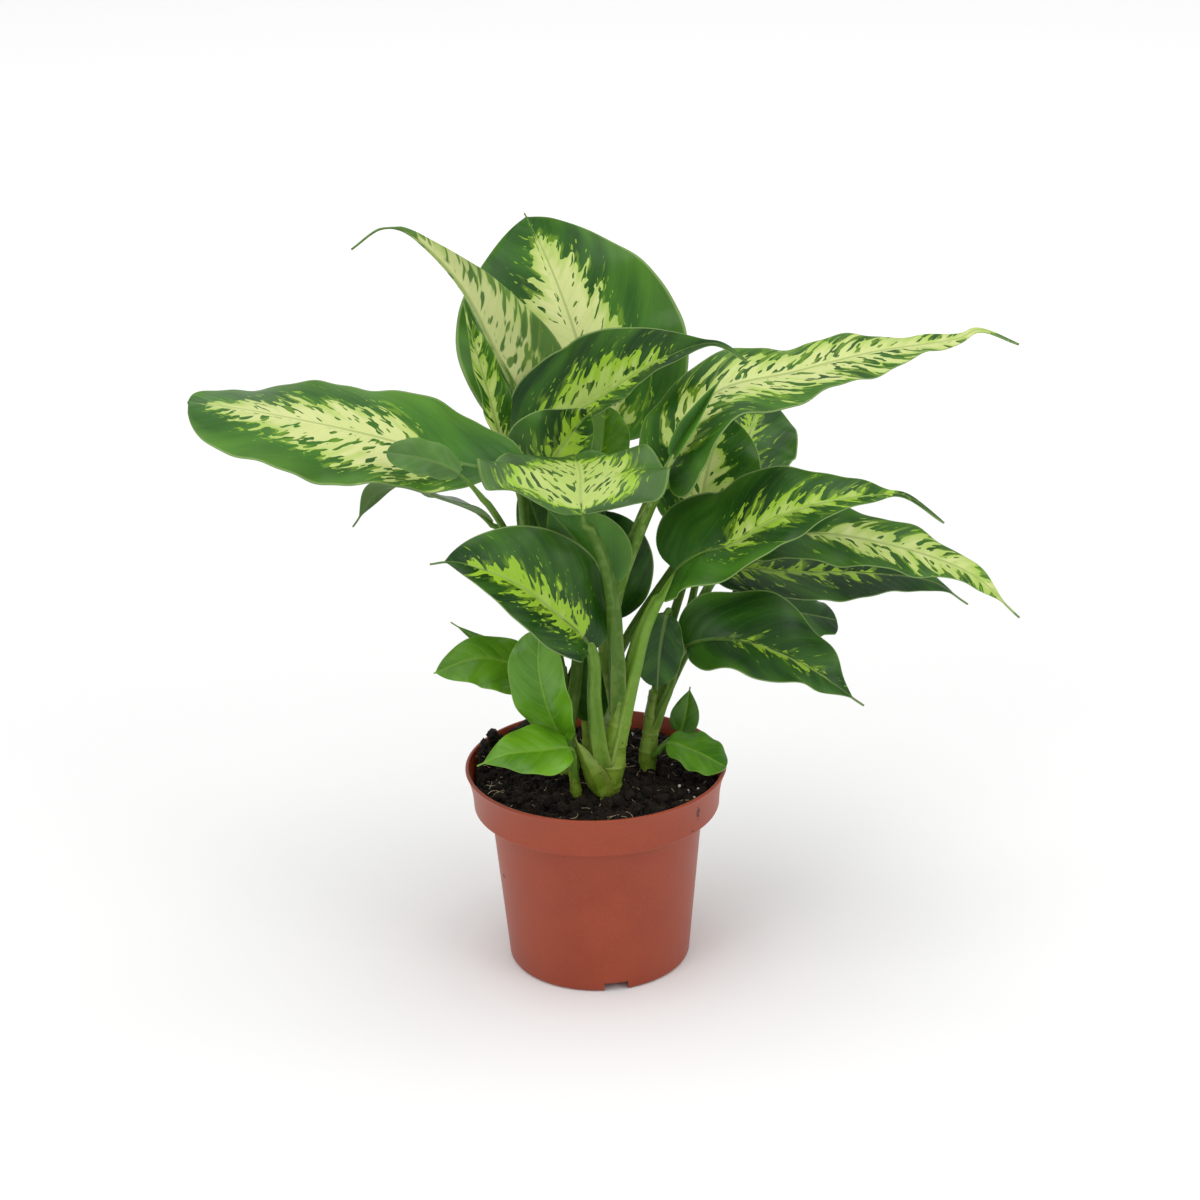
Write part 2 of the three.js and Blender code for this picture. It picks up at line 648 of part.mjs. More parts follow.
function bladeSolid(given, root) {
  const leaf = { ...BLADE, ...given };
  const { points, collar } = leafLine(leaf, root);
  const upper = [];
  const lower = [];
  const places = stations(points, collar, 1, BLADE);
  for (const place of places) {
    const frame = frameAt(vec(leaf.face), place.along);
    for (const { point, over } of bladeRow(place, frame, leaf)) {
      upper.push(point.clone().addScaledVector(over, BLADE.thick / 2));
      lower.push(point.clone().addScaledVector(over, -BLADE.thick / 2));
    }
  }
  const n = BLADE.across.length;
  const under = upper.length;
  const last = under - n;
  const faces = [];
  const quad = (a, b, c, d) => faces.push(a, b, c, a, c, d);
  for (let row = 0; row < last; row += n) {
    for (let a = row; a + 1 < row + n; a++) {
      quad(a, a + 1, a + n + 1, a + n);
      faces.push(under + a, under + a + n + 1, under + a + 1, under + a, under + a + n, under + a + n + 1);
    }
    const right = row + n - 1;
    quad(row, row + n, under + row + n, under + row);
    quad(right, under + right, under + right + n, right + n);
  }
  for (let i = 0; i + 1 < n; i++) {
    quad(i, under + i, under + i + 1, i + 1);
    quad(last + i, last + i + 1, under + last + i + 1, under + last + i);
  }
  return indexed([...upper, ...lower], faces);
}

// ---------- assembly ----------
const plant = new THREE.Group();

function place(name, manifold, look) {
  const { color, roughness } = LOOKS[look];
  const material = new THREE.MeshStandardMaterial({ color, roughness, metalness: 0 });
  const mesh = new THREE.Mesh(geometryOf(manifold), material);
  mesh.name = name;
  plant.add(mesh);
}

place("pot", potSolid(), "pot");

// What leaves grow from: its solid grown by the gap, its middle line, and the petioles on it.
const seats = {};
let soil = soilSolid();
for (const [name, cane] of Object.entries(CANES)) {
  const grown = caneSolid(cane, GAP);
  soil = soil.subtract(grown);
  seats[name] = { grown, middle: (z) => caneMiddle(cane, z), petioles: [] };
  place(name, caneSolid(cane, 0), "cane");
}
place("soil", largest(soil), "soil");

for (const [name, leaf] of Object.entries(LEAVES)) {
  const seat = seats[leaf.on];
  const root = seat.middle(leaf.start);
  let petiole = petioleSolid(leaf, root, 0).subtract(seat.grown);
  for (const other of seat.petioles) petiole = petiole.subtract(other);
  const grown = petioleSolid(leaf, root, GAP);
  seat.petioles.push(grown);
  seats[name] = { grown, middle: (z) => petioleMiddle(leaf, root, z), petioles: [] };
  place(name, largest(petiole.add(bladeSolid(leaf, root))), leaf.young ? "young" : "leaf");
}

export default plant;
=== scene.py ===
# %% [markdown]
# # A potted dieffenbachia
#
# A young dieffenbachia stands in a round terracotta-coloured nursery pot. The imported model
# holds the pieces at their real size and place, as plain faceted solids. This script gives
# each of them its real surface: leaves with veins and cream feathers, stalks with sheaths,
# ringed canes, crumbly peat and a moulded pot. Lengths are written in millimetres, because a
# plant is measured that way, and turned into Blender's metres when a mesh is made.

# %% The frame that everything fits
import math

import bmesh
import bpy
import numpy as np
from mathutils import Matrix, Vector, noise


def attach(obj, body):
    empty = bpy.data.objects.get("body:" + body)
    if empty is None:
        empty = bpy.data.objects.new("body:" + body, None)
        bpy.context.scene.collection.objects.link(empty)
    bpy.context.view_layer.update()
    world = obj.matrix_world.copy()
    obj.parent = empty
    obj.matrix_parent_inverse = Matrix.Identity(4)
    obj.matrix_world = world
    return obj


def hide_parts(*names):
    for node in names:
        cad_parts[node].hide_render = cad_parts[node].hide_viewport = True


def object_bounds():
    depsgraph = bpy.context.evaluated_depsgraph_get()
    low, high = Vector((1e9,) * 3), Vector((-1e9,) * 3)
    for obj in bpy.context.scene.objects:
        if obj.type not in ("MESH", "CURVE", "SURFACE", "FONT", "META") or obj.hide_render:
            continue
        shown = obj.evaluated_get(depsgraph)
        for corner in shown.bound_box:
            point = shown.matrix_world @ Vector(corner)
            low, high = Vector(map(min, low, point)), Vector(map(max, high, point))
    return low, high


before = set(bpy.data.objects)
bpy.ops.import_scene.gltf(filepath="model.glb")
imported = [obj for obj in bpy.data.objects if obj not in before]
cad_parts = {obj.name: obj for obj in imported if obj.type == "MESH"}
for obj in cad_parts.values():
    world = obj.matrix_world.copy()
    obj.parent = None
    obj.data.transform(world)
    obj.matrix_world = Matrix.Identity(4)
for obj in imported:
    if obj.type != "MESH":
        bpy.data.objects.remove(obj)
cad_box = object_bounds()
MM = 0.001
print("solids in the frame:", len(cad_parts), "box:", [list(corner) for corner in cad_box])

# %% [markdown]
# ## Shader maths that reads like maths
#
# A finish on a real thing is a few rules: paler near the vein, rougher where it is dusty.
# Blender writes such rules as nodes. A small class that wraps a socket lets Python's own
# operators add the Math nodes, so that a rule can be read on one line. Colours and vectors
# have nodes of their own, because a Math node would turn a colour grey.

# %% A socket that can be added, multiplied and compared
class Wire:
    """A socket of a finish. Arithmetic on it adds Math nodes."""

    def __init__(self, finish, socket):
        self.finish = finish
        self.socket = socket

    def math(self, operation, *values):
        return self.finish.node("ShaderNodeMath", {"operation": operation}, dict(enumerate(values)))

    def __add__(self, other):
        return self.math("ADD", self, other)

    def __radd__(self, other):
        return self.math("ADD", other, self)

    def __sub__(self, other):
        return self.math("SUBTRACT", self, other)

    def __rsub__(self, other):
        return self.math("SUBTRACT", other, self)

    def __mul__(self, other):
        return self.math("MULTIPLY", self, other)

    def __rmul__(self, other):
        return self.math("MULTIPLY", other, self)

    def __truediv__(self, other):
        return self.math("DIVIDE", self, other)

    def step(self, low, high):
        """0 below low, 1 above high, and a smooth rise between them."""
        settings = {"interpolation_type": "SMOOTHSTEP", "clamp": True}
        places = {"Value": self, "From Min": low, "From Max": high}
        return self.finish.node("ShaderNodeMapRange", settings, places)

    def limited(self, low=0.0, high=1.0):
        return self.math("MINIMUM", self.math("MAXIMUM", self, low), high)

    def larger(self, other):
        return self.math("MAXIMUM", self, other)

    def back_and_forth(self, top):
        """From 0 up to top and down again, over and over."""
        return self.math("PINGPONG", self, top)

    def part(self, axis):
        return self.finish.node("ShaderNodeSeparateXYZ", {}, {0: self}, out="XYZ".index(axis))


class Finish:
    """A material whose nodes are added by short calls."""

    def __init__(self, name):
        self.material = bpy.data.materials.new(name)
        self.material.use_nodes = True
        self.tree = self.material.node_tree
        self.tree.nodes.clear()

    def node(self, kind, settings, sockets, out=0):
        made = self.tree.nodes.new(kind)
        for key, value in settings.items():
            setattr(made, key, value)
        for key, value in sockets.items():
            if isinstance(value, Wire):
                self.tree.links.new(value.socket, made.inputs[key])
            else:
                made.inputs[key].default_value = value
        return Wire(self, made.outputs[out])

    def attribute(self, name):
        return self.node("ShaderNodeAttribute", {"attribute_name": name}, {}, out="Vector")

    def place(self):
        """The point of the surface, in millimetres."""
        here = self.node("ShaderNodeTexCoord", {}, {}, out="Object")
        return self.vector("SCALE", here, {3: 1 / MM})

    def vector(self, operation, first, more):
        return self.node("ShaderNodeVectorMath", {"operation": operation}, {0: first, **more})

    def length(self, vector):
        settings = {"operation": "LENGTH"}
        return self.node("ShaderNodeVectorMath", settings, {0: vector}, out="Value")

    def point(self, x, y, z):
        return self.node("ShaderNodeCombineXYZ", {}, {0: x, 1: y, 2: z})

    def cloud(self, vector, scale, detail=2.0):
        """Soft noise, about 0.5 in the middle."""
        sockets = {"Vector": vector, "Scale": scale, "Detail": detail}
        return self.node("ShaderNodeTexNoise", {}, sockets)

    def mix(self, share, first, second):
        """From the first colour, at share 0, to the second one, at share 1."""
        sockets = {0: share, 6: first, 7: second}
        return self.node("ShaderNodeMix", {"data_type": "RGBA"}, sockets, out=2)

    def bump(self, height, distance, strength=1.0):
        sockets = {"Height": height, "Distance": distance * MM, "Strength": strength}
        return self.node("ShaderNodeBump", {}, sockets)

    def shade(self, sockets):
        surface = self.node("ShaderNodeBsdfPrincipled", {}, sockets)
        end = self.tree.nodes.new("ShaderNodeOutputMaterial")
        self.tree.links.new(surface.socket, end.inputs["Surface"])
        print("finish", self.material.name, "has", len(self.tree.nodes), "nodes")
        return self.material


def paint(red, green, blue):
    """A colour as a painter's chart gives it, from 0 to 255, in the linear values of a shader."""
    shares = [value / 255 for value in (red, green, blue)]
    return [s / 12.92 if s <= 0.04045 else ((s + 0.055) / 1.055) ** 2.4 for s in shares] + [1]


# %% [markdown]
# ## From a grid of points to a piece
#
# Almost everything on this plant is a sheet or a tube, so it is a grid of points. A grid is
# quick to make in numpy, and every point can carry values, such as its distance from the
# midrib, which the finish reads later.

# %% Grids, tubes and meshes
def unit(vectors):
    length = np.linalg.norm(vectors, axis=-1, keepdims=True)
    return vectors / np.maximum(length, 1e-12)


def grid_faces(rows, columns, start=0, closed=False):
    """The quads of a grid whose outside is seen with its columns turning from up to the side."""
    across = columns if closed else columns - 1
    row, column = np.meshgrid(np.arange(rows - 1), np.arange(across), indexing="ij")
    here = row * columns + column
    beside = row * columns + (column + 1) % columns
    quads = np.stack([here, beside, beside + columns, here + columns], -1)
    return (quads.reshape(-1, 4) + start).tolist()


def tube_faces(rings, sides, start=0):
    """The quads of a tube made of rings, and its two ends."""
    last = start + (rings - 1) * sides
    ends = [list(range(start, start + sides))[::-1], list(range(last, last + sides))]
    return grid_faces(rings, sides, start, closed=True) + ends


def rings_round(at, up, side, turn, radius, below=0):
    """Rings of points round a line, sunk by that much below it."""
    lift = (np.cos(turn) * radius - below)[..., None] * up[:, None]
    spread = (np.sin(turn) * radius)[..., None] * side[:, None]
    return at[:, None] + lift + spread


def triples(x, y, z):
    """Three values for every point of a grid, with one row for each point."""
    return np.stack(np.broadcast_arrays(x, y, z), -1).reshape(-1, 3)


def mesh_of(name, points, faces, values):
    """A mesh in metres from points in millimetres. values are vectors that the finish reads."""
    mesh = bpy.data.meshes.new(name)
    mesh.from_pydata((points * MM).tolist(), [], faces)
    for key, rows in values.items():
        layer = mesh.attributes.new(key, "FLOAT_VECTOR", "POINT")
        layer.data.foreach_set("vector", np.asarray(rows, np.float32).ravel())
    mesh.polygons.foreach_set("use_smooth", [True] * len(mesh.polygons))
    return mesh


def mesh_from(bm, name):
    """A mesh from a bmesh that isn't needed any more."""
    mesh = bpy.data.meshes.new(name)
    bm.to_mesh(mesh)
    bm.free()
    return mesh


def put(name, data):
    """A new object in the scene."""
    thing = bpy.data.objects.new(name, data)
    bpy.context.scene.collection.objects.link(thing)
    return thing


def piece_of(mesh, material, *nodes, slot):
    """A finished piece that rides with the plant and stands for those solids."""
    piece = put(mesh.name, mesh)
    mesh.materials.clear()
    mesh.materials.append(material)
    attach(piece, "root")
    if nodes:
        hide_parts(*nodes)
    print(piece.name, "has", len(mesh.polygons), "faces")


# %% [markdown]
# ## Smooth lines
#
# A stalk and a midrib are one smooth line through a few chosen points. A centripetal
# Catmull-Rom line goes through every point without loops, which is why it suits points that
# were set one by one. The solids use the same line, so the fine leaves lie where they lie.

# %% A line through points
FINE = 200  # short steps that measure a line's length
NEAR = 1e-4  # how far ahead and behind a direction is taken, as a share of the line


def line_at(points, shares):
    """Places at shares, from 0 to 1, of a centripetal Catmull-Rom line."""
    points = np.asarray(points, float)
    ends = [2 * points[0] - points[1]], points, [2 * points[-1] - points[-2]]
    padded = np.concatenate(ends)
    where = np.clip(shares, 0, 1) * (len(points) - 1)
    first = np.minimum(where.astype(int), len(points) - 2)
    t = (where - first)[:, None]
    a, b, c, d = (padded[first + k] for k in range(4))
    before, between, after = (
        np.maximum(np.linalg.norm(q - p, axis=1, keepdims=True), 1e-8) ** 0.5
        for p, q in ((a, b), (b, c), (c, d))
    )
    leave = ((b - a) / before - (c - a) / (before + between) + (c - b) / between) * between
    reach = ((c - b) / between - (d - b) / (between + after) + (d - c) / after) * between
    bend = -3 * b + 3 * c - 2 * leave - reach
    turn = 2 * b - 2 * c + leave + reach
    return b + leave * t + bend * t**2 + turn * t**3


def walk_along(points, start, end, shares):
    """Places at shares of the length between two parameters, their directions and that length."""
    fine = np.linspace(start, end, FINE + 1)
    steps = np.linalg.norm(np.diff(line_at(points, fine), axis=0), axis=1)
    walked = np.concatenate([[0], np.cumsum(steps)])
    t = np.interp(np.asarray(shares) * walked[-1], walked, fine)
    ahead, behind = line_at(points, t + NEAR), line_at(points, t - NEAR)
    return line_at(points, t), unit(ahead - behind), walked[-1]


def square_to(face, along):
    """The upper side's direction and the right-hand side's, square to each direction."""
    face = np.asarray(face, float)
    up = unit(face - along * (along @ face)[:, None])
    return up, np.cross(along, up)


def bell(distance, width):
    """1 at no distance, and nearly 0 from twice the width on."""
    return np.exp(-((distance / width) ** 2))


BEND = [(0, 0, 0), (1, 0, 0), (1, 1, 0)]
print("a quarter of the way along a bend:", line_at(BEND, np.array([0.25])))

# %% [markdown]
# ## Where the leaves grow
#
# A young dieffenbachia is a clump of short canes, and each leaf's stalk wraps the cane below
# the next one. The places are the ones that the solids have, chosen along the lines of
# sight. Each leaf says which cane, or which leaf's stalk, carries it and at what height, then
# the points of its stalk and of its midrib. A pair gives the left and the right half, seen from
# the stalk with the upper side up.
#
# - face is the way the upper side looks, and thick the stalk's radius at its foot and its top
# - half is the greatest width of each half
# - fold is how far a half is raised, in degrees, and foldTip how far at the tip if that differs
# - wave and waves are how high the margin waves, and how often
# - round and point are how slowly the blade widens from the stalk and narrows to the tip
# - tail is the share of the length that is drip tip, and flare widens that tip
# - blunt keeps the end wide, and lobe is how far the base reaches back past the stalk

# %% Canes and leaves
SOIL_LEVEL = 88
CANES = {
    "cane_front": dict(foot=(4, -16), top=(13, -18, 140), radius=(8, 5.4)),
    "cane_left": dict(foot=(-12, -3), top=(-16, -2, 146), radius=(5.6, 4)),
    "cane_back": dict(foot=(-2, 21), top=(-2, 22, 152), radius=(5, 3.6)),
    "cane_right": dict(foot=(23, 4), top=(28, 5, 130), radius=(4.8, 3.4)),
    "cane_young": dict(foot=(-9, -20), top=(-11, -23, 112), radius=(3, 2.2)),
}
LEAVES = {
    "leaf_left_broad": dict(
        on="cane_left", start=136, petiole=((-21, -4, 175), (-28, -6, 208)),
        blade=(
            (-33, -8, 237), (-60, -12, 248), (-88, -16, 260), (-144, -22, 276),
            (-170, -24, 281),
        ),
        half=(40, 36), face=(0.25, -0.45, 0.86), fold=(-4, 16), foldTip=(24, -30), wave=2.2,
        round=(1.1, 0.42), point=0.4, tail=0, blunt=(0.5, 0.3), thick=(3, 2.2),
    ),
    "leaf_left_small": dict(
        on="cane_left", start=126, petiole=((-20, -14, 165), (-39, -34, 228)),
        blade=(
            (-55, -43, 253), (-63, -44, 258), (-71, -45, 261), (-79, -46, 263), (-85, -46, 264),
        ),
        half=(8, 9), face=(0, -0.7, 0.7), fold=(10, 10), wave=1, point=0.5, tail=0, blunt=0.45,
        thick=(2, 1.5),
    ),
    "leaf_left_droop": dict(
        on="cane_left", start=118, petiole=((-23, 4, 154), (-34, 6, 194)),
        blade=((-44, 8, 212), (-68, 22, 219), (-93, 34, 220), (-109, 40, 199)), half=(14, 14),
        face=(0, 0.5, 0.85), fold=(10, 10), wave=1.5, thick=(2, 1.5),
    ),
    "leaf_upper_left": dict(
        on="cane_back", start=142, petiole=((-8, 34, 180), (-20, 50, 220)),
        blade=(
            (-32, 57, 254), (-44, 56, 282), (-55, 54, 306), (-69, 51, 325), (-81, 47, 336),
            (-90, 45, 337), (-103, 41, 329),
        ),
        half=(28, 12), face=(-0.3, 0.9, 0.1), fold=(8, 85), wave=1.5, round=0.3,
        point=(2.1, 1.7), thick=(2.6, 2),
    ),
    "leaf_upper_narrow": dict(
        on="cane_back", start=130, petiole=((-14, 24, 170), (-30, 27, 215)),
        blade=((-39, 28, 241), (-45, 30, 266), (-51, 30, 292), (-54, 30, 308)), half=(7, 11),
        face=(0.75, -0.6, 0.1), fold=(20, 20), wave=1, thick=(1.8, 1.4),
    ),
    "leaf_top": dict(
        on="cane_back", start=146, petiole=((1, 38, 180), (6, 57, 208)),
        blade=((7, 68, 228), (-5, 82, 274), (-18, 100, 307), (-28, 110, 326)), half=(56, 50),
        face=(0.05, -0.85, 0.5), fold=(8, 8), wave=2.5, point=(0.62, 0.85), tail=0.02,
        thick=(3, 2.2),
    ),
    "leaf_upper_mid": dict(
        on="cane_back", start=122, petiole=((-10, 32, 170), (-22, 38, 208)),
        blade=((-27, 38, 237), (1, 26, 260), (33, 4, 287), (55, -14, 299), (68, -24, 294)),
        half=(32, 14), face=(-0.2, -0.75, 0.6), fold=(8, 40), wave=1.5, point=(1.3, 0.8),
        tail=0.14, flare=2, thick=(2.6, 2),
    ),
    "leaf_mid_back": dict(
        on="cane_back", start=112, petiole=((-9, 16, 150), (-19, 17, 195)),
        blade=((-19, 18, 227), (-15, 15, 239), (-2, 9, 259), (3, 5, 266)), half=(24, 18),
        face=(-0.2, -0.95, 0.2), fold=(10, 10), wave=1, round=0.4, thick=(2, 1.6),
    ),
    "leaf_mid_young": dict(
        on="cane_back", start=148, petiole=((3, 28, 180), (4, 33, 205)),
        blade=((4, 34, 224), (6, 36, 240), (8, 40, 257)), half=(13, 13), face=(0.1, -0.9, -0.2),
        fold=(20, 20), wave=1, point=0.6, thick=(2, 1.6),
    ),
    "leaf_centre": dict(
        on="cane_front", start=126, petiole=((10, -25, 158), (8, -36, 197), (3, -43, 220)),
        blade=((-3, -47, 235), (-4, -34, 240), (-4, -18, 243), (-7, 8, 243)), half=(46, 40),
        face=(0, -0.35, 0.93), fold=(16, 16), wave=3, round=(0.6, 0.4), point=0.8, tail=0.04,
        lobe=(0, 0.2), thick=(4.2, 2.4),
    ),
    "leaf_right_long": dict(
        on="cane_front", start=130, petiole=((7, -14, 160), (10, -14, 184), (24, -13, 222)),
        blade=(
            (34, -12, 243), (42, -12, 262), (57, -8, 276), (89, 0, 281), (125, 8, 287),
            (163, 16, 290), (171, 18, 293), (190, 22, 285),
        ),
        half=(22, 28), face=(-0.2, -0.3, 0.93), fold=(14, 10), wave=2, waves=4,
        round=(0.2, 0.3), point=0.85, tail=0.14, lobe=0.6, flare=2.4, thick=(4.4, 3),
    ),
    "leaf_spear": dict(
        on="leaf_right_long", start=218, petiole=((29, -17, 234),),
        blade=((36, -22, 251), (48, -26, 273), (57, -28, 289)), half=(6, 6),
        face=(-0.4, -0.8, 0.4), fold=(50, 50), wave=0, thick=(1.8, 1.6),
    ),
    "leaf_right_upright": dict(
        on="cane_right", start=122, petiole=((33, 12, 150), (42, 20, 178)),
        blade=((48, 24, 200), (53, 30, 226), (63, 42, 252)), half=(26, 26),
        face=(-0.2, -0.9, 0.35), fold=(10, 10), wave=1.5, point=0.6, thick=(2.4, 1.8),
    ),
    "leaf_right_back": dict(
        on="cane_back", start=106, petiole=((12, 26, 140), (42, 31, 186)),
        blade=((63, 34, 215), (73, 60, 230), (81, 84, 245)), half=(28, 24), face=(0, -0.6, 0.8),
        fold=(10, 10), wave=2, point=0.6, thick=(2.4, 1.8),
    ),
    "leaf_right_front": dict(
        on="cane_front", start=106, petiole=((17, -21, 150), (24, -24, 176)),
        blade=(
            (37, -26, 200), (47, -29, 209), (61, -32, 214), (80, -36, 227), (98, -40, 235),
            (122, -42, 239), (133, -42, 239), (151, -42, 226),
        ),
        half=(30, 22), face=(-0.1, -0.4, 0.92), fold=(24, 12), wave=2, round=0.36, tail=0.2,
        lobe=(0.3, 0.9), flare=2, thick=(5.6, 2.8),
    ),
    "leaf_right_droop": dict(
        on="cane_right", start=112, petiole=((38, 3, 150), (54, 7, 182)),
        blade=((65, 6, 199), (97, 0, 206), (126, -4, 203), (167, -8, 189), (190, -10, 168)),
        half=(15, 18), face=(0.1, -0.5, 0.85), fold=(12, 12), wave=2, waves=4, thick=(2.6, 2),
    ),
    "leaf_right_shade": dict(
        on="cane_right", start=104, petiole=((34, 14, 134), (44, 18, 164)),
        blade=((51, 20, 181), (92, 26, 177), (123, 34, 173), (157, 42, 165), (175, 48, 151)),
        half=(18, 18), face=(0, -0.45, 0.89), fold=(8, 8), wave=1.5, thick=(2.2, 1.6),
    ),
    "leaf_right_blunt": dict(
        on="cane_right", start=98, petiole=((35, 20, 124), (50, 32, 147)),
        blade=((66, 40, 158), (88, 56, 147), (116, 72, 134)), half=(16, 16),
        face=(0.1, -0.6, 0.8), fold=(8, 8), wave=1, point=0.5, blunt=0.6, thick=(2, 1.5),
    ),
    "leaf_right_low": dict(
        on="cane_right", start=108, petiole=((33, -2, 130),),
        blade=((42, -5, 155), (65, -14, 161), (92, -20, 152), (120, -24, 133)), half=(26, 18),
        face=(0.1, -0.4, 0.9), fold=(50, -4), foldTip=(10, 10), wave=2, thick=(2.2, 1.6),
    ),
    "leaf_right_hang": dict(
        on="cane_right", start=122, petiole=((31, 4, 146), (34, 2, 164), (34, -3, 172)),
        blade=((33, -8, 172), (30, -12, 160), (28, -13, 137)), half=(11, 11),
        face=(0.2, -0.95, 0.1), fold=(8, 8), wave=1, point=0.5, thick=(1.8, 1.4),
    ),
    "leaf_low_upright": dict(
        on="cane_right", start=94, petiole=((33, 12, 100),),
        blade=((39, 14, 104), (42, 16, 113), (44, 18, 125)), half=(7, 7),
        face=(-0.2, -0.9, 0.2), fold=(15, 15), wave=0, thick=(1.6, 1.2),
    ),
    "leaf_low_right": dict(
        on="cane_right", start=95, petiole=((28, -1, 101),),
        blade=((33, -4, 107), (46, -8, 104), (59, -12, 98)), half=(12, 12),
        face=(0.2, -0.4, 0.9), fold=(8, 8), wave=1, point=0.5, tail=0, thick=(1.6, 1.2),
    ),
    "leaf_front_left": dict(
        on="cane_front", start=94, petiole=((2, -23, 112), (0, -28, 138)),
        blade=(
            (-1, -32, 166), (-16, -44, 189), (-29, -50, 203), (-42, -54, 212), (-59, -58, 219),
            (-68, -60, 219),
        ),
        half=(20, 30), face=(0.05, -0.85, 0.5), fold=(38, 4), wave=1.5, round=0.65, point=0.85,
        thick=(4.4, 2.6),
    ),
    "leaf_under_centre": dict(
        on="cane_left", start=108, petiole=((-9, -8, 135), (-6, -11, 160), (-1, -15, 180)),
        blade=((3, -19, 192), (-5, -24, 212), (-20, -29, 233)), half=(20, 20),
        face=(-0.1, -0.8, 0.5), fold=(10, 10), wave=1, thick=(3.4, 2),
    ),
    "leaf_inner_back": dict(
        on="cane_back", start=100, petiole=((3, 14, 130), (5, 8, 150)),
        blade=((6, 5, 166), (8, 3, 196), (6, 2, 222)), half=(20, 20), face=(0, -0.95, 0.2),
        fold=(8, 8), wave=1, point=0.6, thick=(2.2, 1.6),
    ),
    "leaf_inner_left": dict(
        on="cane_left", start=108, petiole=((-18, 5, 130), (-19, 5, 160)),
        blade=((-20, 5, 184), (-22, 5, 206), (-30, 6, 232)), half=(10, 14), face=(0, -0.9, 0.3),
        fold=(8, 8), wave=1, point=0.6, thick=(2, 1.5),
    ),
    "leaf_inner_low": dict(
        on="cane_back", start=94, petiole=((0, 13, 104),),
        blade=((-1, 8, 114), (-3, 4, 132), (-2, 0, 156)), half=(10, 12), face=(0, -0.95, 0.1),
        fold=(15, 15), wave=1, point=0.6, thick=(2, 1.5),
    ),
    "leaf_low_left": dict(
        on="cane_young", start=108, petiole=((-12, -19, 120), (-17, -16, 136)),
        blade=((-23, -15, 145), (-36, -16, 153), (-52, -18, 157), (-71, -22, 152)),
        half=(15, 11), face=(0.1, -0.75, 0.65), fold=(10, 10), wave=1, point=0.75, tail=0.02,
        thick=(1.6, 1.2),
    ),
    "leaf_low_drip": dict(
        on="cane_left", start=104, petiole=((-17, 0, 120),),
        blade=((-22, 4, 135), (-42, 12, 146), (-65, 22, 158)), half=(5, 5),
        face=(0, -0.5, 0.85), fold=(10, 10), wave=1, thick=(1.6, 1.2),
    ),
    "leaf_low_twist": dict(
        on="cane_young", start=104, petiole=((-13, -24, 114),),
        blade=((-15, -27, 121), (-21, -33, 141), (-24, -36, 161), (-23, -33, 176)),
        half=(15, 17), face=(-0.3, -0.9, 0), fold=(12, 30), wave=1.5, point=0.45, tail=0,
        thick=(1.6, 1.2),
    ),
    "leaf_low_front": dict(
        on="cane_young", start=97, petiole=((-10, -29, 114),),
        blade=((-12, -37, 121), (-24, -43, 123), (-40, -49, 124), (-52, -51, 120)),
        half=(13, 13), face=(0, -0.6, 0.8), fold=(8, 8), wave=1, thick=(1.6, 1.2),
    ),
}
ANY_LEAF = dict(
    lobe=0.25, round=0.55, point=1, tail=0.07, flare=0, waves=3, blunt=0, foldTip=None,
)
print(len(LEAVES), "leaves on", len(CANES), "canes")
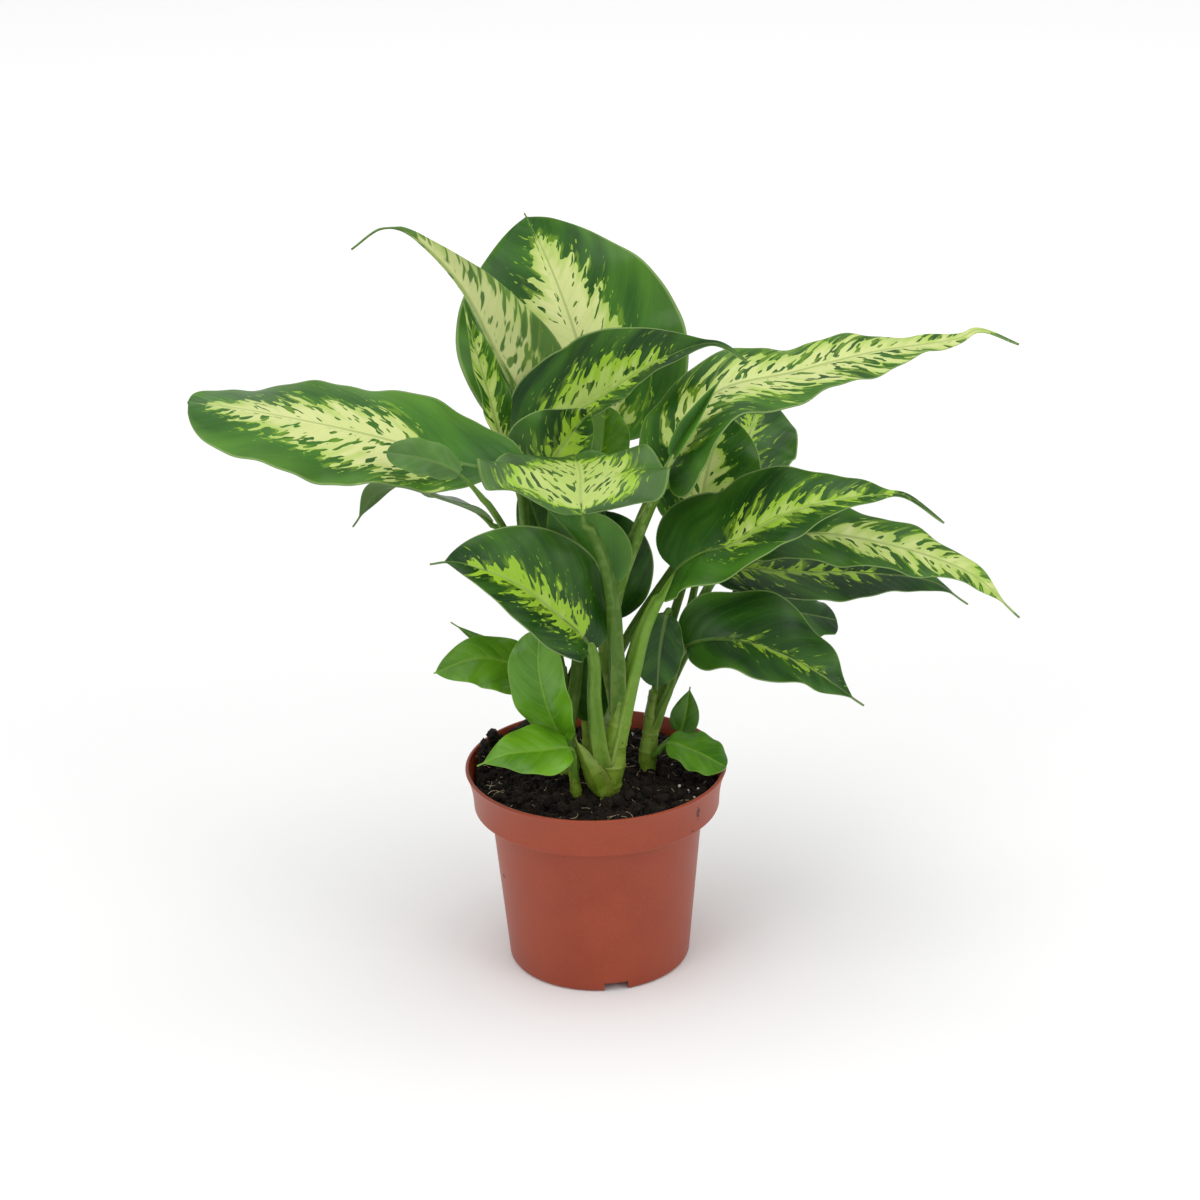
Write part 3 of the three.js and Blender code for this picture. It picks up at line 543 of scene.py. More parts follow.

# %% [markdown]
# ## How each leaf is coloured
#
# The cream is a feather: it starts on the midrib, runs out along the side veins, and ends in
# fingers. Green islands lie in it and flecks beyond it. On this plant the young outer leaves
# have a wide pale feather, and the older inner ones a narrow yellow-green one. A row gives
# the shares of the length where the feather starts and ends, and how far it reaches to the left
# and the right, as a share of the width. Then come how many islands it has, how yellow it is,
# how light the green is, how much painted sheen lies on it, and how light the stalk is. How
# yellow the cream is and how light the green is are partly the leaf's own colour and partly
# painted shade, darker on leaves that lie in shade. The painted sheen is a grey-green laid over
# the leaf in place of the light that its wax reflects, and a dark stalk is painted shade.

# %% The feathers
PLAIN = dict(feather=(0, 0), reach=(0, 0), islands=0, yellow=0.5, light=0.4, painted_sheen=0, stalk=0.35)
FEATHERS = {
    "leaf_left_broad": dict(
        feather=((0.2, 0.3), 0.95), reach=(0.66, 0.6), islands=0.5, yellow=0.1, light=0.5,
    ),
    "leaf_left_small": dict(light=0.38, painted_sheen=0.5),
    "leaf_left_droop": dict(light=0.15, painted_sheen=0.65),
    "leaf_upper_left": dict(
        feather=(0, 0.75), reach=(0.85, 0.4), islands=0.7, yellow=0.05, light=0.5, painted_sheen=0.3,
    ),
    "leaf_upper_narrow": dict(
        feather=(0.02, 0.9), reach=(0.85, 0.3), islands=0.35, yellow=0.25, light=0.4,
    ),
    "leaf_top": dict(
        feather=(0.02, 0.88), reach=(0.44, 0.46), islands=0.2, yellow=0.12, light=0.4,
    ),
    "leaf_upper_mid": dict(
        feather=(0.08, 0.66), reach=(0.5, 0.45), islands=0.4, yellow=0.65, light=0.15,
    ),
    "leaf_mid_back": dict(
        feather=(0.1, 0.75), reach=(0.3, 0.35), islands=0.6, yellow=0.85, light=0.2,
    ),
    "leaf_mid_young": dict(feather=(0.1, 0.9), reach=(0.3, 0.3), light=0.5),
    "leaf_centre": dict(
        feather=(0.04, 0.8), reach=(0.8, 0.7), islands=0.6, yellow=0.55, light=0.2, painted_sheen=0.35,
        stalk=0.1,
    ),
    "leaf_right_long": dict(
        feather=(0.05, 0.93), reach=(0.74, 0.76), islands=0.66, yellow=0.2, light=0.35, stalk=0.7,
    ),
    "leaf_spear": dict(islands=0.78, light=0.5, stalk=0.7),
    "leaf_right_upright": dict(
        feather=(0.08, 0.8), reach=(0.55, 0.5), islands=0.4, yellow=0.3, light=0.3,
    ),
    "leaf_right_back": dict(
        feather=(0.15, 0.75), reach=(0.25, 0.35), islands=0.6, yellow=0.6, light=0.2,
    ),
    "leaf_right_front": dict(
        feather=(0.2, 0.8), reach=(0.3, 0.3), islands=0.6, yellow=0.6, light=0.25, stalk=1,
    ),
    "leaf_right_droop": dict(
        feather=(0.25, 0.97), reach=(0.5, 0.45), islands=0.3, yellow=0.15, light=0.3,
    ),
    "leaf_right_shade": dict(
        feather=(0.1, 0.6), reach=(0.12, 0.16), islands=0.6, yellow=0.9, light=0.05,
    ),
    "leaf_right_blunt": dict(light=0.2),
    "leaf_right_low": dict(
        feather=(0.3, 0.75), reach=(-0.1, -0.02), islands=0.6, yellow=0.9, light=0.2,
    ),
    "leaf_right_hang": dict(light=0.1),
    "leaf_low_upright": dict(light=0.2),
    "leaf_low_right": dict(light=0.15),
    "leaf_front_left": dict(
        feather=(0.12, 0.8), reach=(0.34, 0.32), islands=0.5, yellow=0.85, light=0.1, stalk=0.75,
    ),
    "leaf_under_centre": dict(light=0.6, painted_sheen=0.15),
    "leaf_inner_back": dict(light=0.1),
    "leaf_inner_left": dict(light=0.2, painted_sheen=0.2),
    "leaf_inner_low": dict(light=0.35),
    "leaf_low_left": dict(light=0.5),
    "leaf_low_twist": dict(light=0.35),
    "leaf_low_front": dict(light=0.6),
}
YOUNG = [
    "leaf_mid_young", "leaf_low_upright", "leaf_low_right", "leaf_low_left",
    "leaf_low_drip", "leaf_low_twist", "leaf_low_front",
]
print(len(FEATHERS), "leaves have a look of their own, and", len(YOUNG), "are young")

# %% [markdown]
# ## Stalks
#
# A dieffenbachia stalk is thick and round, with a channel along its upper side. Lower down
# the channel opens into a sheath, whose two thin pale edges clasp the cane. One ring of points
# makes all of that: a round, less a groove on top, plus two narrow ridges beside the groove,
# which fade out half way up.

# %% A stalk's points
STALK = dict(
    sides=24, rows=56, reach=0.16, end=0.3,  # it runs on under the blade and ends thin
    channel=0.3, channel_width=0.42,  # depth as a share of the radius, width in radians
    channel_slope=5,  # how steeply the channel runs out under the blade
    wing=0.42, wing_turn=0.72, wing_width=0.17, wing_end=0.6,
)


def cane_middle(cane, height):
    share = max(0, (height - SOIL_LEVEL) / (cane["top"][2] - SOIL_LEVEL))
    foot, top = np.array(cane["foot"]), np.array(cane["top"][:2])
    return (*(foot + (top - foot) * share), height)


def leaf_line(leaf):
    """All points of a leaf's line, and the share of it where the blade starts."""
    if leaf["on"] in CANES:
        root = cane_middle(CANES[leaf["on"]], leaf["start"])
    else:
        points, collar = leaf_line(LEAVES[leaf["on"]])
        stalk = line_at(points, np.linspace(0, collar, FINE))
        root = tuple(stalk[np.abs(stalk[:, 2] - leaf["start"]).argmin()])
    points = [root, *leaf["petiole"], *leaf["blade"]]
    return points, (1 + len(leaf["petiole"])) / (len(points) - 1)


def stalk_points(leaf):
    """Rings of a stalk, and for each point its length from the foot and how much wing it is."""
    points, collar = leaf_line(leaf)
    end = collar + (1 - collar) * STALK["reach"]
    u = np.linspace(0, 1, STALK["rows"])
    at, along, length = walk_along(points, 0, end, u)
    up, side = square_to(leaf["face"], along)
    foot, top = leaf["thick"]
    past = np.maximum(0, (u * end - collar) / (end - collar))
    plain = foot + (top - foot) * np.minimum(1, u * end / collar)
    radius = plain + (STALK["end"] - plain) * past
    below = np.where(past > 0, radius - STALK["end"], 0)
    turn = np.linspace(0, 2 * np.pi, STALK["sides"], endpoint=False)
    away = np.abs((turn + np.pi) % (2 * np.pi) - np.pi)
    wing = bell(away - STALK["wing_turn"], STALK["wing_width"])[None]
    wing = wing * np.clip(1 - u / STALK["wing_end"], 0, 1)[:, None] ** 0.5
    groove = bell(away, STALK["channel_width"])[None]
    groove = groove * np.clip((1 - u) * STALK["channel_slope"], 0, 1)[:, None]
    ring = radius[:, None] * (1 - STALK["channel"] * groove + STALK["wing"] * wing)
    rings = rings_round(at, up, side, turn, ring, below[:, None])
    return rings, np.broadcast_to(u[:, None], wing.shape) * length, wing


print("a cane's middle at the soil:", cane_middle(CANES["cane_front"], SOIL_LEVEL))


# %% [markdown]
# ## Blades
#
# A blade is two sheets, an upper and a lower one, that meet in a thin edge. Its outline
# is one formula: round at the stalk, pointed at the tip. Each half is folded up from the
# midrib, its margin hangs and waves, and the leaf between two side veins bulges a little,
# which gives the quilted look. The same outline and folds shape the solids.

# %% The shape of a blade
BLADE = dict(
    thick=0.8, edge=0.34, cup=-0.1, lobe_end=0.35, tail_width=(0.75, 0.3), full_wave=10, shift=2.1,
    rib=1.3, rib_width=1.5, groove=0.5, groove_width=1.1,  # the midrib, under and on the blade
    vein_gap=6.5, quilt=0.24,  # distance between side veins, and how far the leaf bulges there
    slant=0.9, sweep=0.35,  # how side veins run forward, and how they turn along the margin
    frill=0.5, frill_length=17,
    blunt_end=0.07,  # share of the length in which a blunt tip is rounded off
    row_step=1.3, least_rows=44, most_rows=120, columns=36,
    even=0.45, crowd=1.25,  # rows crowd at both ends, and columns at the midrib
    frill_full=12, quilt_full=9, rib_full=26,  # half widths from which these reach full size
    quilt_power=0.7, quilt_middle=0.6,
)


def of_side(value, right):
    """A value that a leaf gives for both halves, or for the left and the right one."""
    return value[int(right)] if isinstance(value, tuple) else value


def outline(u, leaf, right):
    """Half width from 0 to 1 at shares u of the blade's length."""
    sharp, blunt = of_side(leaf["point"], right), of_side(leaf["blunt"], right)
    full = of_side(leaf["round"], right)
    widest = full / (full + sharp)
    v = np.minimum(1, u / (1 - leaf["tail"]))
    shape = v**full * (1 - v) ** sharp / (widest**full * (1 - widest) ** sharp)
    end = np.sqrt(np.clip((1 - u) / BLADE["blunt_end"], 0, 1))
    return np.maximum(shape, np.where(v > widest, blunt * end, 0))


def least_half(u, leaf):
    """Half width that a blade keeps all along, and so that of its drip tip."""
    base, end = BLADE["tail_width"]
    flare = leaf["flare"] * u * np.sqrt(np.clip((1 - u) / (leaf["tail"] + 0.01), 0, 1))
    return np.maximum(base + (end - base) * u, flare)


def blade_points(leaf, rng):
    """The grid in the middle of a blade's thickness, with shares, normals and half widths."""
    points, collar = leaf_line(leaf)
    length = walk_along(points, collar, 1, [0])[2]
    rows = int(np.clip(length / BLADE["row_step"], BLADE["least_rows"], BLADE["most_rows"]))
    even = np.linspace(0, 1, rows)
    u = BLADE["even"] * even + (1 - BLADE["even"]) * (1 - np.cos(np.pi * even)) / 2
    at, along, length = walk_along(points, collar, 1, u)
    up, side = square_to(leaf["face"], along)
    across = np.linspace(-1, 1, BLADE["columns"] + 1)
    s = np.sign(across) * (1 - (1 - np.abs(across)) ** BLADE["crowd"])
    mid = np.zeros((rows, len(s), 3))
    out = np.zeros((rows, len(s)))
    wave_start = 2 * np.pi * rng.random()
    for right in (False, True):
        here = s >= 0 if right else s < 0
        half = np.hypot(leaf["half"][right] * outline(u, leaf, right), least_half(u, leaf))
        half = half[:, None]
        size = np.abs(s[here])[None]  # 0 on the midrib, 1 on the margin
        w = size * half
        tip = (leaf["foldTip"] or leaf["fold"])[right]
        lean = np.radians(leaf["fold"][right] + (tip - leaf["fold"][right]) * u)[:, None]
        turn = 2 * np.pi * leaf["waves"] * u + right * BLADE["shift"]
        ripple = leaf["wave"] * np.sin(turn)[:, None] * np.minimum(1, half / BLADE["full_wave"])
        frill = 2 * np.pi * u * length / BLADE["frill_length"] + wave_start + right * 2
        small = BLADE["frill"] * np.sin(frill)[:, None] * size**4
        small = small * np.minimum(1, half / BLADE["frill_full"])
        swept = of_side(leaf["lobe"], right) * w * np.maximum(0, 1 - u / BLADE["lobe_end"])[:, None]
        aside = (1 if right else -1) * w * np.cos(lean)
        lift = w * np.sin(lean) + size**2 * (BLADE["cup"] * half + ripple) + small
        mid[:, here] = (
            at[:, None] + aside[..., None] * side[:, None] + lift[..., None] * up[:, None]
            - swept[..., None] * along[:, None]
        )
        out[:, here] = w
    normal = unit(np.cross(np.gradient(mid, axis=1), np.gradient(mid, axis=0)))
    return u, s, mid, normal, out, length


print("half widths along a blade:", outline(np.linspace(0, 1, 5), ANY_LEAF, False))

# %% [markdown]
# ## From outline to leaf
#
# The upper sheet sinks along the midrib, the lower one carries the rib, and both bulge
# between the side veins. A side vein is a line on which one number stays the same: the place
# where it leaves the midrib. That number, and the distance from the midrib, go with every
# point, so that the finish can draw veins, feathers and flecks that follow the leaf. Every
# point carries four vectors:
#
# - grain: the side vein's number, the distance from the midrib, and a seed
# - place: how near the margin or how much sheath edge, the share of the length, and 0 on the
#   upper side, 1 on the underside or 2 on the stalk
# - feather: how far the cream reaches, how many islands it has, how yellow it is, which is partly
#   painted shade
# - tint: how light the green is, which is partly painted shade, how much painted sheen lies on it,
#   and how light the stalk is, which is painted shade

# %% One leaf, stalk and blade
BOX = np.array(cad_box) / MM
REACH = dict(
    rise=0.45, fall=0.75, full=0.515,  # the feather's own outline
    slope=0.9,  # how fast it draws back beyond its two ends
    none=-60.0,  # on a plain leaf
)
LEAF_SEED, RIGHT_SEED = 7.3, 3.1  # so that no two leaves, and no two halves, have one pattern
STALK_ROUND = 12  # a stalk's whole turn, as its pattern measures it


def feather_reach(look, right, u, length, half):
    """How far, in millimetres, the cream reaches from the midrib. Below 0 there is none."""
    start, stop = (of_side(share, right) for share in look["feather"])
    if stop <= start:
        return np.full(len(u), REACH["none"])
    v = (u - start) / (stop - start)
    inside = np.clip(v, 0, 1)
    shape = inside ** REACH["rise"] * (1 - inside) ** REACH["fall"] / REACH["full"]
    beyond = np.maximum(0, np.maximum(-v, v - 1)) * (stop - start) * length
    return look["reach"][int(right)] * half * shape - REACH["slope"] * beyond


def two_sheets(rows, columns):
    """The faces of an upper and a lower sheet, and of the edge that joins them."""
    sheet = rows * columns
    faces = grid_faces(rows, columns)
    faces += [face[::-1] for face in grid_faces(rows, columns, sheet)]
    rim = [row * columns for row in range(rows)]
    rim += [(rows - 1) * columns + column for column in range(1, columns)]
    rim += [row * columns + columns - 1 for row in range(rows - 2, -1, -1)]
    rim += list(range(columns - 2, 0, -1))
    for here, there in zip(rim, rim[1:] + rim[:1]):
        faces.append([here, there, there + sheet, here + sheet])
    return faces


def leaf_mesh(name, leaf, look, number):
    """The whole leaf as one mesh: a stalk, and a blade of two sheets."""
    rng = np.random.default_rng(number)
    u, s, mid, normal, w, length = blade_points(leaf, rng)
    right = s >= 0
    edge = np.abs(s)[None]
    half = w[:, [0, -1]].max(axis=1)[:, None]
    vein = (u * length)[:, None] - BLADE["slant"] * w - BLADE["sweep"] * half * edge**3
    open_leaf = np.clip(edge * 6, 0, 1) * np.clip((1 - edge) * 5, 0, 1)  # off rib and margin
    open_leaf = open_leaf * np.minimum(1, half / BLADE["quilt_full"])
    arch = np.abs(np.sin(np.pi * vein / BLADE["vein_gap"])) ** BLADE["quilt_power"]
    bulge = BLADE["quilt"] * open_leaf * (arch - BLADE["quilt_middle"])
    fade = np.clip(np.minimum(u * 12, 1 - u * 0.75), 0, 1)[:, None]  # the rib thins to the tip
    size = min(1, max(leaf["half"]) / BLADE["rib_full"])
    groove = BLADE["groove"] * size * fade * bell(w, BLADE["groove_width"])
    rib = BLADE["rib"] * size * fade * bell(w, BLADE["rib_width"] * size)
    thick = BLADE["edge"] + (BLADE["thick"] - BLADE["edge"]) * (1 - edge**3)
    upper = mid + normal * (thick / 2 + bulge - groove)[..., None]
    lower = mid + normal * (bulge - thick / 2 - rib)[..., None]

    left_reach, right_reach = (
        feather_reach(look, side, u, length, leaf["half"][side])[:, None] for side in (0, 1)
    )
    reach = np.where(right[None], right_reach, left_reach)
    seed = number * LEAF_SEED + right[None] * RIGHT_SEED
    blade = {
        "grain": triples(vein, w, seed),
        "place": triples(edge, u[:, None], 0),
        "feather": triples(reach, look["islands"], look["yellow"]),
        "tint": triples(look["light"], look["painted_sheen"], 0 * w),
    }

    rings, walked, wing = stalk_points(leaf)
    turn = np.linspace(0, 1, STALK["sides"])[None]
    stalk = {
        "grain": triples(walked, turn * STALK_ROUND, number * LEAF_SEED),
        "place": triples(wing, walked / walked.max(), 2),
        "feather": triples(0 * wing, look["islands"], look["yellow"]),
        "tint": triples(look["light"] + 0 * wing, look["painted_sheen"], look["stalk"]),
    }
    values = {}
    for key, upper_side in blade.items():
        lower_side = upper_side + [0, 0, 1] if key == "place" else upper_side
        values[key] = np.concatenate([upper_side, lower_side, stalk[key]])

    faces = two_sheets(*w.shape) + tube_faces(*wing.shape, start=2 * w.size)
    points = np.concatenate([grid.reshape(-1, 3) for grid in (upper, lower, rings)])
    points = np.clip(points, *BOX)  # a smooth arch would stand a little above the faceted one
    return mesh_of(f"{name}_veined", points, faces, values)


# %% [markdown]
# ## The variegated finish
#
# Seen close, the cream ends in fingers because each stretch between two side veins turned
# green at its own moment. So the finish compares the feather's reach with the distance from
# the midrib, and disturbs that with noise that is long along the veins and short across them.
# Islands and flecks are the peaks of two more such noises. The leaf has a thin coat of wax.

# %% The colour of a variegated leaf
GREEN_DARK = paint(20, 54, 12)
GREEN_MID = paint(58, 112, 26)
GREEN_LIGHT = paint(94, 142, 42)
PAINTED_SHEEN_GREEN = paint(98, 128, 72)
CREAM = paint(206, 212, 144)
CREAM_YELLOW = paint(142, 180, 46)
MIDRIB = paint(136, 158, 86)
MARGIN = paint(132, 158, 92)
UNDERSIDE = paint(92, 122, 62)
STALK_SHADED = paint(66, 98, 32)
STALK_GREEN = paint(100, 138, 44)
STALK_PALE = paint(160, 180, 106)
STALK_FOOT = paint(124, 156, 50)
FRECKLE = paint(72, 54, 28)


STREAKS = dict(  # how fine across the side veins and along them, a seed, and the detail
    fingers=(0.15, 0.06, 0, 1.0), ragged=(0.25, 0.17, 11, 1.5), islets=(0.29, 0.2, 23, 1.0),
    flecks=(0.5, 0.36, 37, 1.0), fringe=(0.3, 0.11, 61, 1.0), clouds=(0.05, 0.03, 51, 3.0),
    mottle=(0.16, 0.4, 5, 2.0), young=(0.06, 0.05, 0, 3.0), young_flecks=(0.4, 0.16, 9, 1.0),
)
FINGERS, RAGGED = 27, 12  # how far, in millimetres, those two noises move the feather's edge
ISLET_LEVEL, FLECK_LEVEL = 0.695, 0.68  # the noise above which there is an islet or a fleck


def leaf_values(finish):
    """What every leaf finish starts from: two distances, a noise, and the place on the leaf."""
    grain = finish.attribute("grain")
    vein, out, seed = (grain.part(axis) for axis in "XYZ")

    def streaks(kind):
        """Noise that is long along the side veins, and differs on each half of each leaf."""
        across, along_vein, shift, detail = STREAKS[kind]
        point = finish.point(vein * across, out * along_vein, seed + shift)
        return finish.cloud(point, 1.0, detail)

    return vein, out, streaks, *(finish.attribute("place").part(axis) for axis in "XYZ")


def above(value, level):
    """0 below a level and 1 above it."""
    return (value - level).step(-0.1, 0.1)


def side_veins(vein):
    """How far it is to the nearest side vein, as a share of the gap between two."""
    return (vein / BLADE["vein_gap"]).back_and_forth(0.5)


def variegated_leaf():
    finish = Finish("variegated leaf")
    vein, out, streaks, edge, along, side = leaf_values(finish)
    feather, tint = finish.attribute("feather"), finish.attribute("tint")
    reach, islands, yellow = (feather.part(axis) for axis in "XYZ")
    light, painted_sheen, stalk_lit = (tint.part(axis) for axis in "XYZ")
    under, stalk = above(side, 0.5), above(side, 1.5)
    blur = 0.4 + under * 2.2 + painted_sheen * 0.5

    def inside(distance):
        """1 inside an edge, 0 outside it, and in between where painted sheen or the underside blurs
        it.
        """
        return (distance / blur).step(-0.5, 0.5)

    # where it is pale: the feather, less its islets, with the flecks beyond it
    fingers = (streaks("fingers") - 0.5) * FINGERS
    ragged = (streaks("ragged") - 0.5) * RAGGED
    margin = reach - out + fingers + ragged
    cream = inside(margin)
    hole = streaks("islets") + islands * 0.18 + (out / reach.limited(4, 99)) * 0.05
    islet = inside((hole - ISLET_LEVEL) * 28) * (out - 1.2).step(0, 1.2)
    flecks = inside((streaks("flecks") - FLECK_LEVEL) * 40) * (margin + 12).step(0, 6)
    pale = (cream * (1 - islet)).larger(flecks * (1 - cream) * 0.8)

    # the green, lighter to the margin, and the cream, yellower to its own edge; how light
    # the green is, set for each leaf, is partly its own tone and partly painted shade
    soft = streaks("clouds")
    green = finish.mix((light * 1.3 + (soft - 0.5) * 1.4).limited(), GREEN_DARK, GREEN_MID)
    lighter = (edge.step(0.55, 1.0) * light + (soft - 0.5)).limited() * 0.8
    green = finish.mix(lighter, green, GREEN_LIGHT)
    # painted sheen: a grey-green laid over the leaf, which stands in for the light that the wax
    # reflects
    green = finish.mix(painted_sheen * 0.7, green, PAINTED_SHEEN_GREEN)
    fringe = (margin + 4.5).step(0, 3) * streaks("fringe").step(0.46, 0.6)
    green = finish.mix(fringe * 0.35, green, CREAM_YELLOW)
    near_edge = 1 - (margin / 9).limited()
    # how yellow the cream is, set for each leaf, is partly its own colour and partly painted shade:
    # cream that lies in shade is painted yellower and darker
    warm = yellow + near_edge * 0.55 + (soft - 0.5) * 0.5 + flecks * (1 - cream)
    blade = finish.mix(pale, green, finish.mix(warm.limited(), CREAM, CREAM_YELLOW))

    # side veins, midrib, margin and underside
    nerve = side_veins(vein).step(0.0, 0.07)
    blade = finish.mix((1 - nerve) * 0.1, blade, GREEN_LIGHT)
    rib = 1 - (out / (1.3 - along * 0.9)).step(0.5, 1.0)
    blade = finish.mix(rib * (0.3 + pale * 0.3) * (1 - painted_sheen), blade, MIDRIB)
    blade = finish.mix(edge.step(0.962, 0.985) * (0.7 - painted_sheen * 0.6), blade, MARGIN)
    blade = finish.mix(under * (0.5 - pale * 0.32), blade, UNDERSIDE)

    # the stalk: mottled where its leaf has many islands, with freckles low down
    foot = 1 - along.step(0.0, 0.45)
    # painted shade: a stalk that stands in shade is painted a darker green, and one in the light a
    # lighter green
    stem = finish.mix(stalk_lit, STALK_SHADED, STALK_GREEN)
    stem = finish.mix(foot * 0.6 * stalk_lit, stem, STALK_FOOT)
    mottled = (islands * 6 - 3.7).limited() * 0.8 + 0.1
    stem = finish.mix(streaks("mottle").step(0.47, 0.58) * mottled, stem, STALK_PALE)
    freckle = finish.cloud(finish.place(), 0.42, 1.0)
    stem = finish.mix(foot * freckle.step(0.7, 0.73) * 0.8, stem, FRECKLE)
    stem = finish.mix(edge.step(0.35, 0.9) * 0.6, stem, STALK_PALE)  # the sheath's edges

    wax = finish.cloud(finish.place(), 0.11, 3.0)
    fine = finish.cloud(finish.place(), 1.6, 2.0)
    return finish.shade({
        "Base Color": finish.mix(stalk, blade, stem),
        "Roughness": 0.38 + (wax - 0.5) * 0.25 + under * 0.16 + (1 - nerve) * 0.05,
        "Normal": finish.bump(nerve * 0.12 + fine * 0.05 + pale * 0.05, 0.5, 0.7),
        "Coat Weight": 0.06 * (1 - under),
        "Coat Roughness": 0.2,
        "Specular IOR Level": 0.2,
    })


# %% [markdown]
# ## The finish of young leaves
#
# The small leaves at the foot are plain and brighter: their bright yellow-green is partly their
# own colour and partly painted light, which stands in for the light that falls through them,
# and their side veins show as paler lines on a yellow-green ground.

# %% The colour of a young leaf
YOUNG_DEEP = paint(58, 110, 14)
YOUNG_BRIGHT = paint(104, 158, 26)
YOUNG_VEIN = paint(118, 158, 48)
YOUNG_UNDER = paint(104, 140, 58)


def young_leaf():
    finish = Finish("young leaf")
    vein, out, streaks, edge, along, side = leaf_values(finish)
    reach = finish.attribute("feather").part("X")
    light = finish.attribute("tint").part("X")
    under = above(side, 0.5)
    # how light each young leaf is, set for each leaf, is partly its own tone and partly painted
    # light and shade: brighter for the light that falls through it, darker where it lies in shade
    deep = light + (streaks("young") - 0.5) * 1.6
    colour = finish.mix(deep.limited(), YOUNG_DEEP, YOUNG_BRIGHT)
    flecks = (streaks("young_flecks") - 0.6).step(0, 0.05) * (reach - out).step(-2, 2)
    colour = finish.mix(flecks, colour, CREAM_YELLOW)
    nerve = side_veins(vein).step(0.0, 0.09)
    rib = 1 - (out / (1.1 - along * 0.6)).step(0.5, 1.0)
    colour = finish.mix(((1 - nerve) * 0.28 + rib * 0.6).limited(), colour, YOUNG_VEIN)
    colour = finish.mix(edge.step(0.95, 0.99) * 0.6, colour, YOUNG_VEIN)
    colour = finish.mix(under * 0.45, colour, YOUNG_UNDER)
    wax = finish.cloud(finish.place(), 0.15, 3.0)
    fine = finish.cloud(finish.place(), 1.6, 2.0)
    return finish.shade({
        "Base Color": colour,
        "Roughness": 0.34 + (wax - 0.5) * 0.25 + under * 0.14,
        "Normal": finish.bump(nerve * 0.12 + fine * 0.05, 0.5, 0.7),
        "Coat Weight": 0.12,
        "Coat Roughness": 0.22,
        "Specular IOR Level": 0.3,
    })


# %% Every leaf
VARIEGATED = variegated_leaf()
YOUNG_GREEN = young_leaf()
for number, (name, given) in enumerate(LEAVES.items(), 1):
    young = name in YOUNG
    look = PLAIN | FEATHERS.get(name, {})
    mesh = leaf_mesh(name, ANY_LEAF | given, look, number)
    slot = "young_leaf" if young else "variegated_leaf"
    piece_of(mesh, YOUNG_GREEN if young else VARIEGATED, name, slot=slot)

# %% [markdown]
# ## Canes
#
# Each fallen leaf leaves a ring round the cane, so a cane is a tapering tube with shallow
# rings, paler between them and brown in the scar. At the foot of the front cane an old leaf
# left its sheath, which still hugs the cane and has brown edges.

# %% The canes
CANE = dict(
    depth=78, sides=40, rows=90, swell=0.05, rings=3, scar=0.07, scar_width=0.012, scar_middle=0.6,
    uneven=0.02, round_top=30, least=0.3,  # how soon the top closes, and the width it starts from
)


def cane_mesh(name, cane):
    x, y = cane["foot"]
    points = [(x, y, CANE["depth"]), (x, y, SOIL_LEVEL), cane["top"]]
    u = np.linspace(0, 1, CANE["rows"])
    at, along, length = walk_along(points, 0, 1, u)
    up, side = square_to((0, -1, 0), along)
    thick, thin = cane["radius"]
    scars = (np.arange(2 * CANE["rings"]) + 0.5) / (2 * CANE["rings"])
    scar = sum(bell(u - place, CANE["scar_width"]) for place in scars)
    swell = 1 + CANE["swell"] * np.sin(2 * np.pi * CANE["rings"] * u)
    radius = (thick + (thin - thick) * u) * swell
    radius = radius * (1 + CANE["scar"] * (scar - CANE["scar_middle"]))
    turn = np.linspace(0, 2 * np.pi, CANE["sides"], endpoint=False)
    uneven = 1 + CANE["uneven"] * np.sin(3 * turn[None] + 9 * u[:, None])
    closing = np.clip((1 - u) * CANE["round_top"] + CANE["least"], 0, 1)[:, None] ** 0.5
    ring = radius[:, None] * uneven * closing
    rings = rings_round(at, up, side, turn, ring)
    values = {"place": triples(scar[:, None], u[:, None], 0 * ring)}
    return mesh_of(f"{name}_ringed", rings.reshape(-1, 3), tube_faces(*ring.shape), values)


def cane_finish():
    finish = Finish("green cane")
    place = finish.attribute("place")
    here = finish.place()
    soft = finish.cloud(here, 0.16, 3.0)
    spots = finish.cloud(here, 0.7, 2.0)
    colour = finish.mix(soft.step(0.35, 0.65), paint(100, 132, 30), paint(128, 158, 50))
    colour = finish.mix(place.part("X").step(0.4, 1.0) * 0.35, colour, paint(96, 84, 40))
    colour = finish.mix(spots.step(0.66, 0.72) * 0.8, colour, paint(62, 46, 24))
    return finish.shade({
        "Base Color": colour,
        "Roughness": 0.42 + (soft - 0.5) * 0.3,
        "Normal": finish.bump(finish.cloud(here, 1.1, 3.0), 0.3, 0.6),
        "Coat Weight": 0.1,
        "Coat Roughness": 0.3,
    })


CANE_GREEN = cane_finish()
SHEATH = dict(
    on="cane_front", start=82, petiole=((4, -19, 85),),
    blade=((3, -23.5, 88), (-2, -27.5, 103), (-9, -28, 122)), half=(6.5, 6.5),
    face=(-0.3, -0.95, 0.1), fold=(-30, -30), wave=0, round=0.25, point=0.8, thick=(1.5, 1),
)
for name, cane in CANES.items():
    piece_of(cane_mesh(name, cane), CANE_GREEN, name, slot="cane")
piece_of(leaf_mesh("sheath", ANY_LEAF | SHEATH, PLAIN, 40), CANE_GREEN, slot="cane")

# %% [markdown]
# ## The pot
#
# A nursery pot is thin plastic, moulded in one shot: a wall that flares into a collar, a rim
# with rounded edges, a foot ring with three notches that let water out, and drain holes. It
# is turned from half of its cross-section, rounded in steps, and the notches and holes are
# cut out. A bevel would also round the inner corners, so the roundings are in the section.

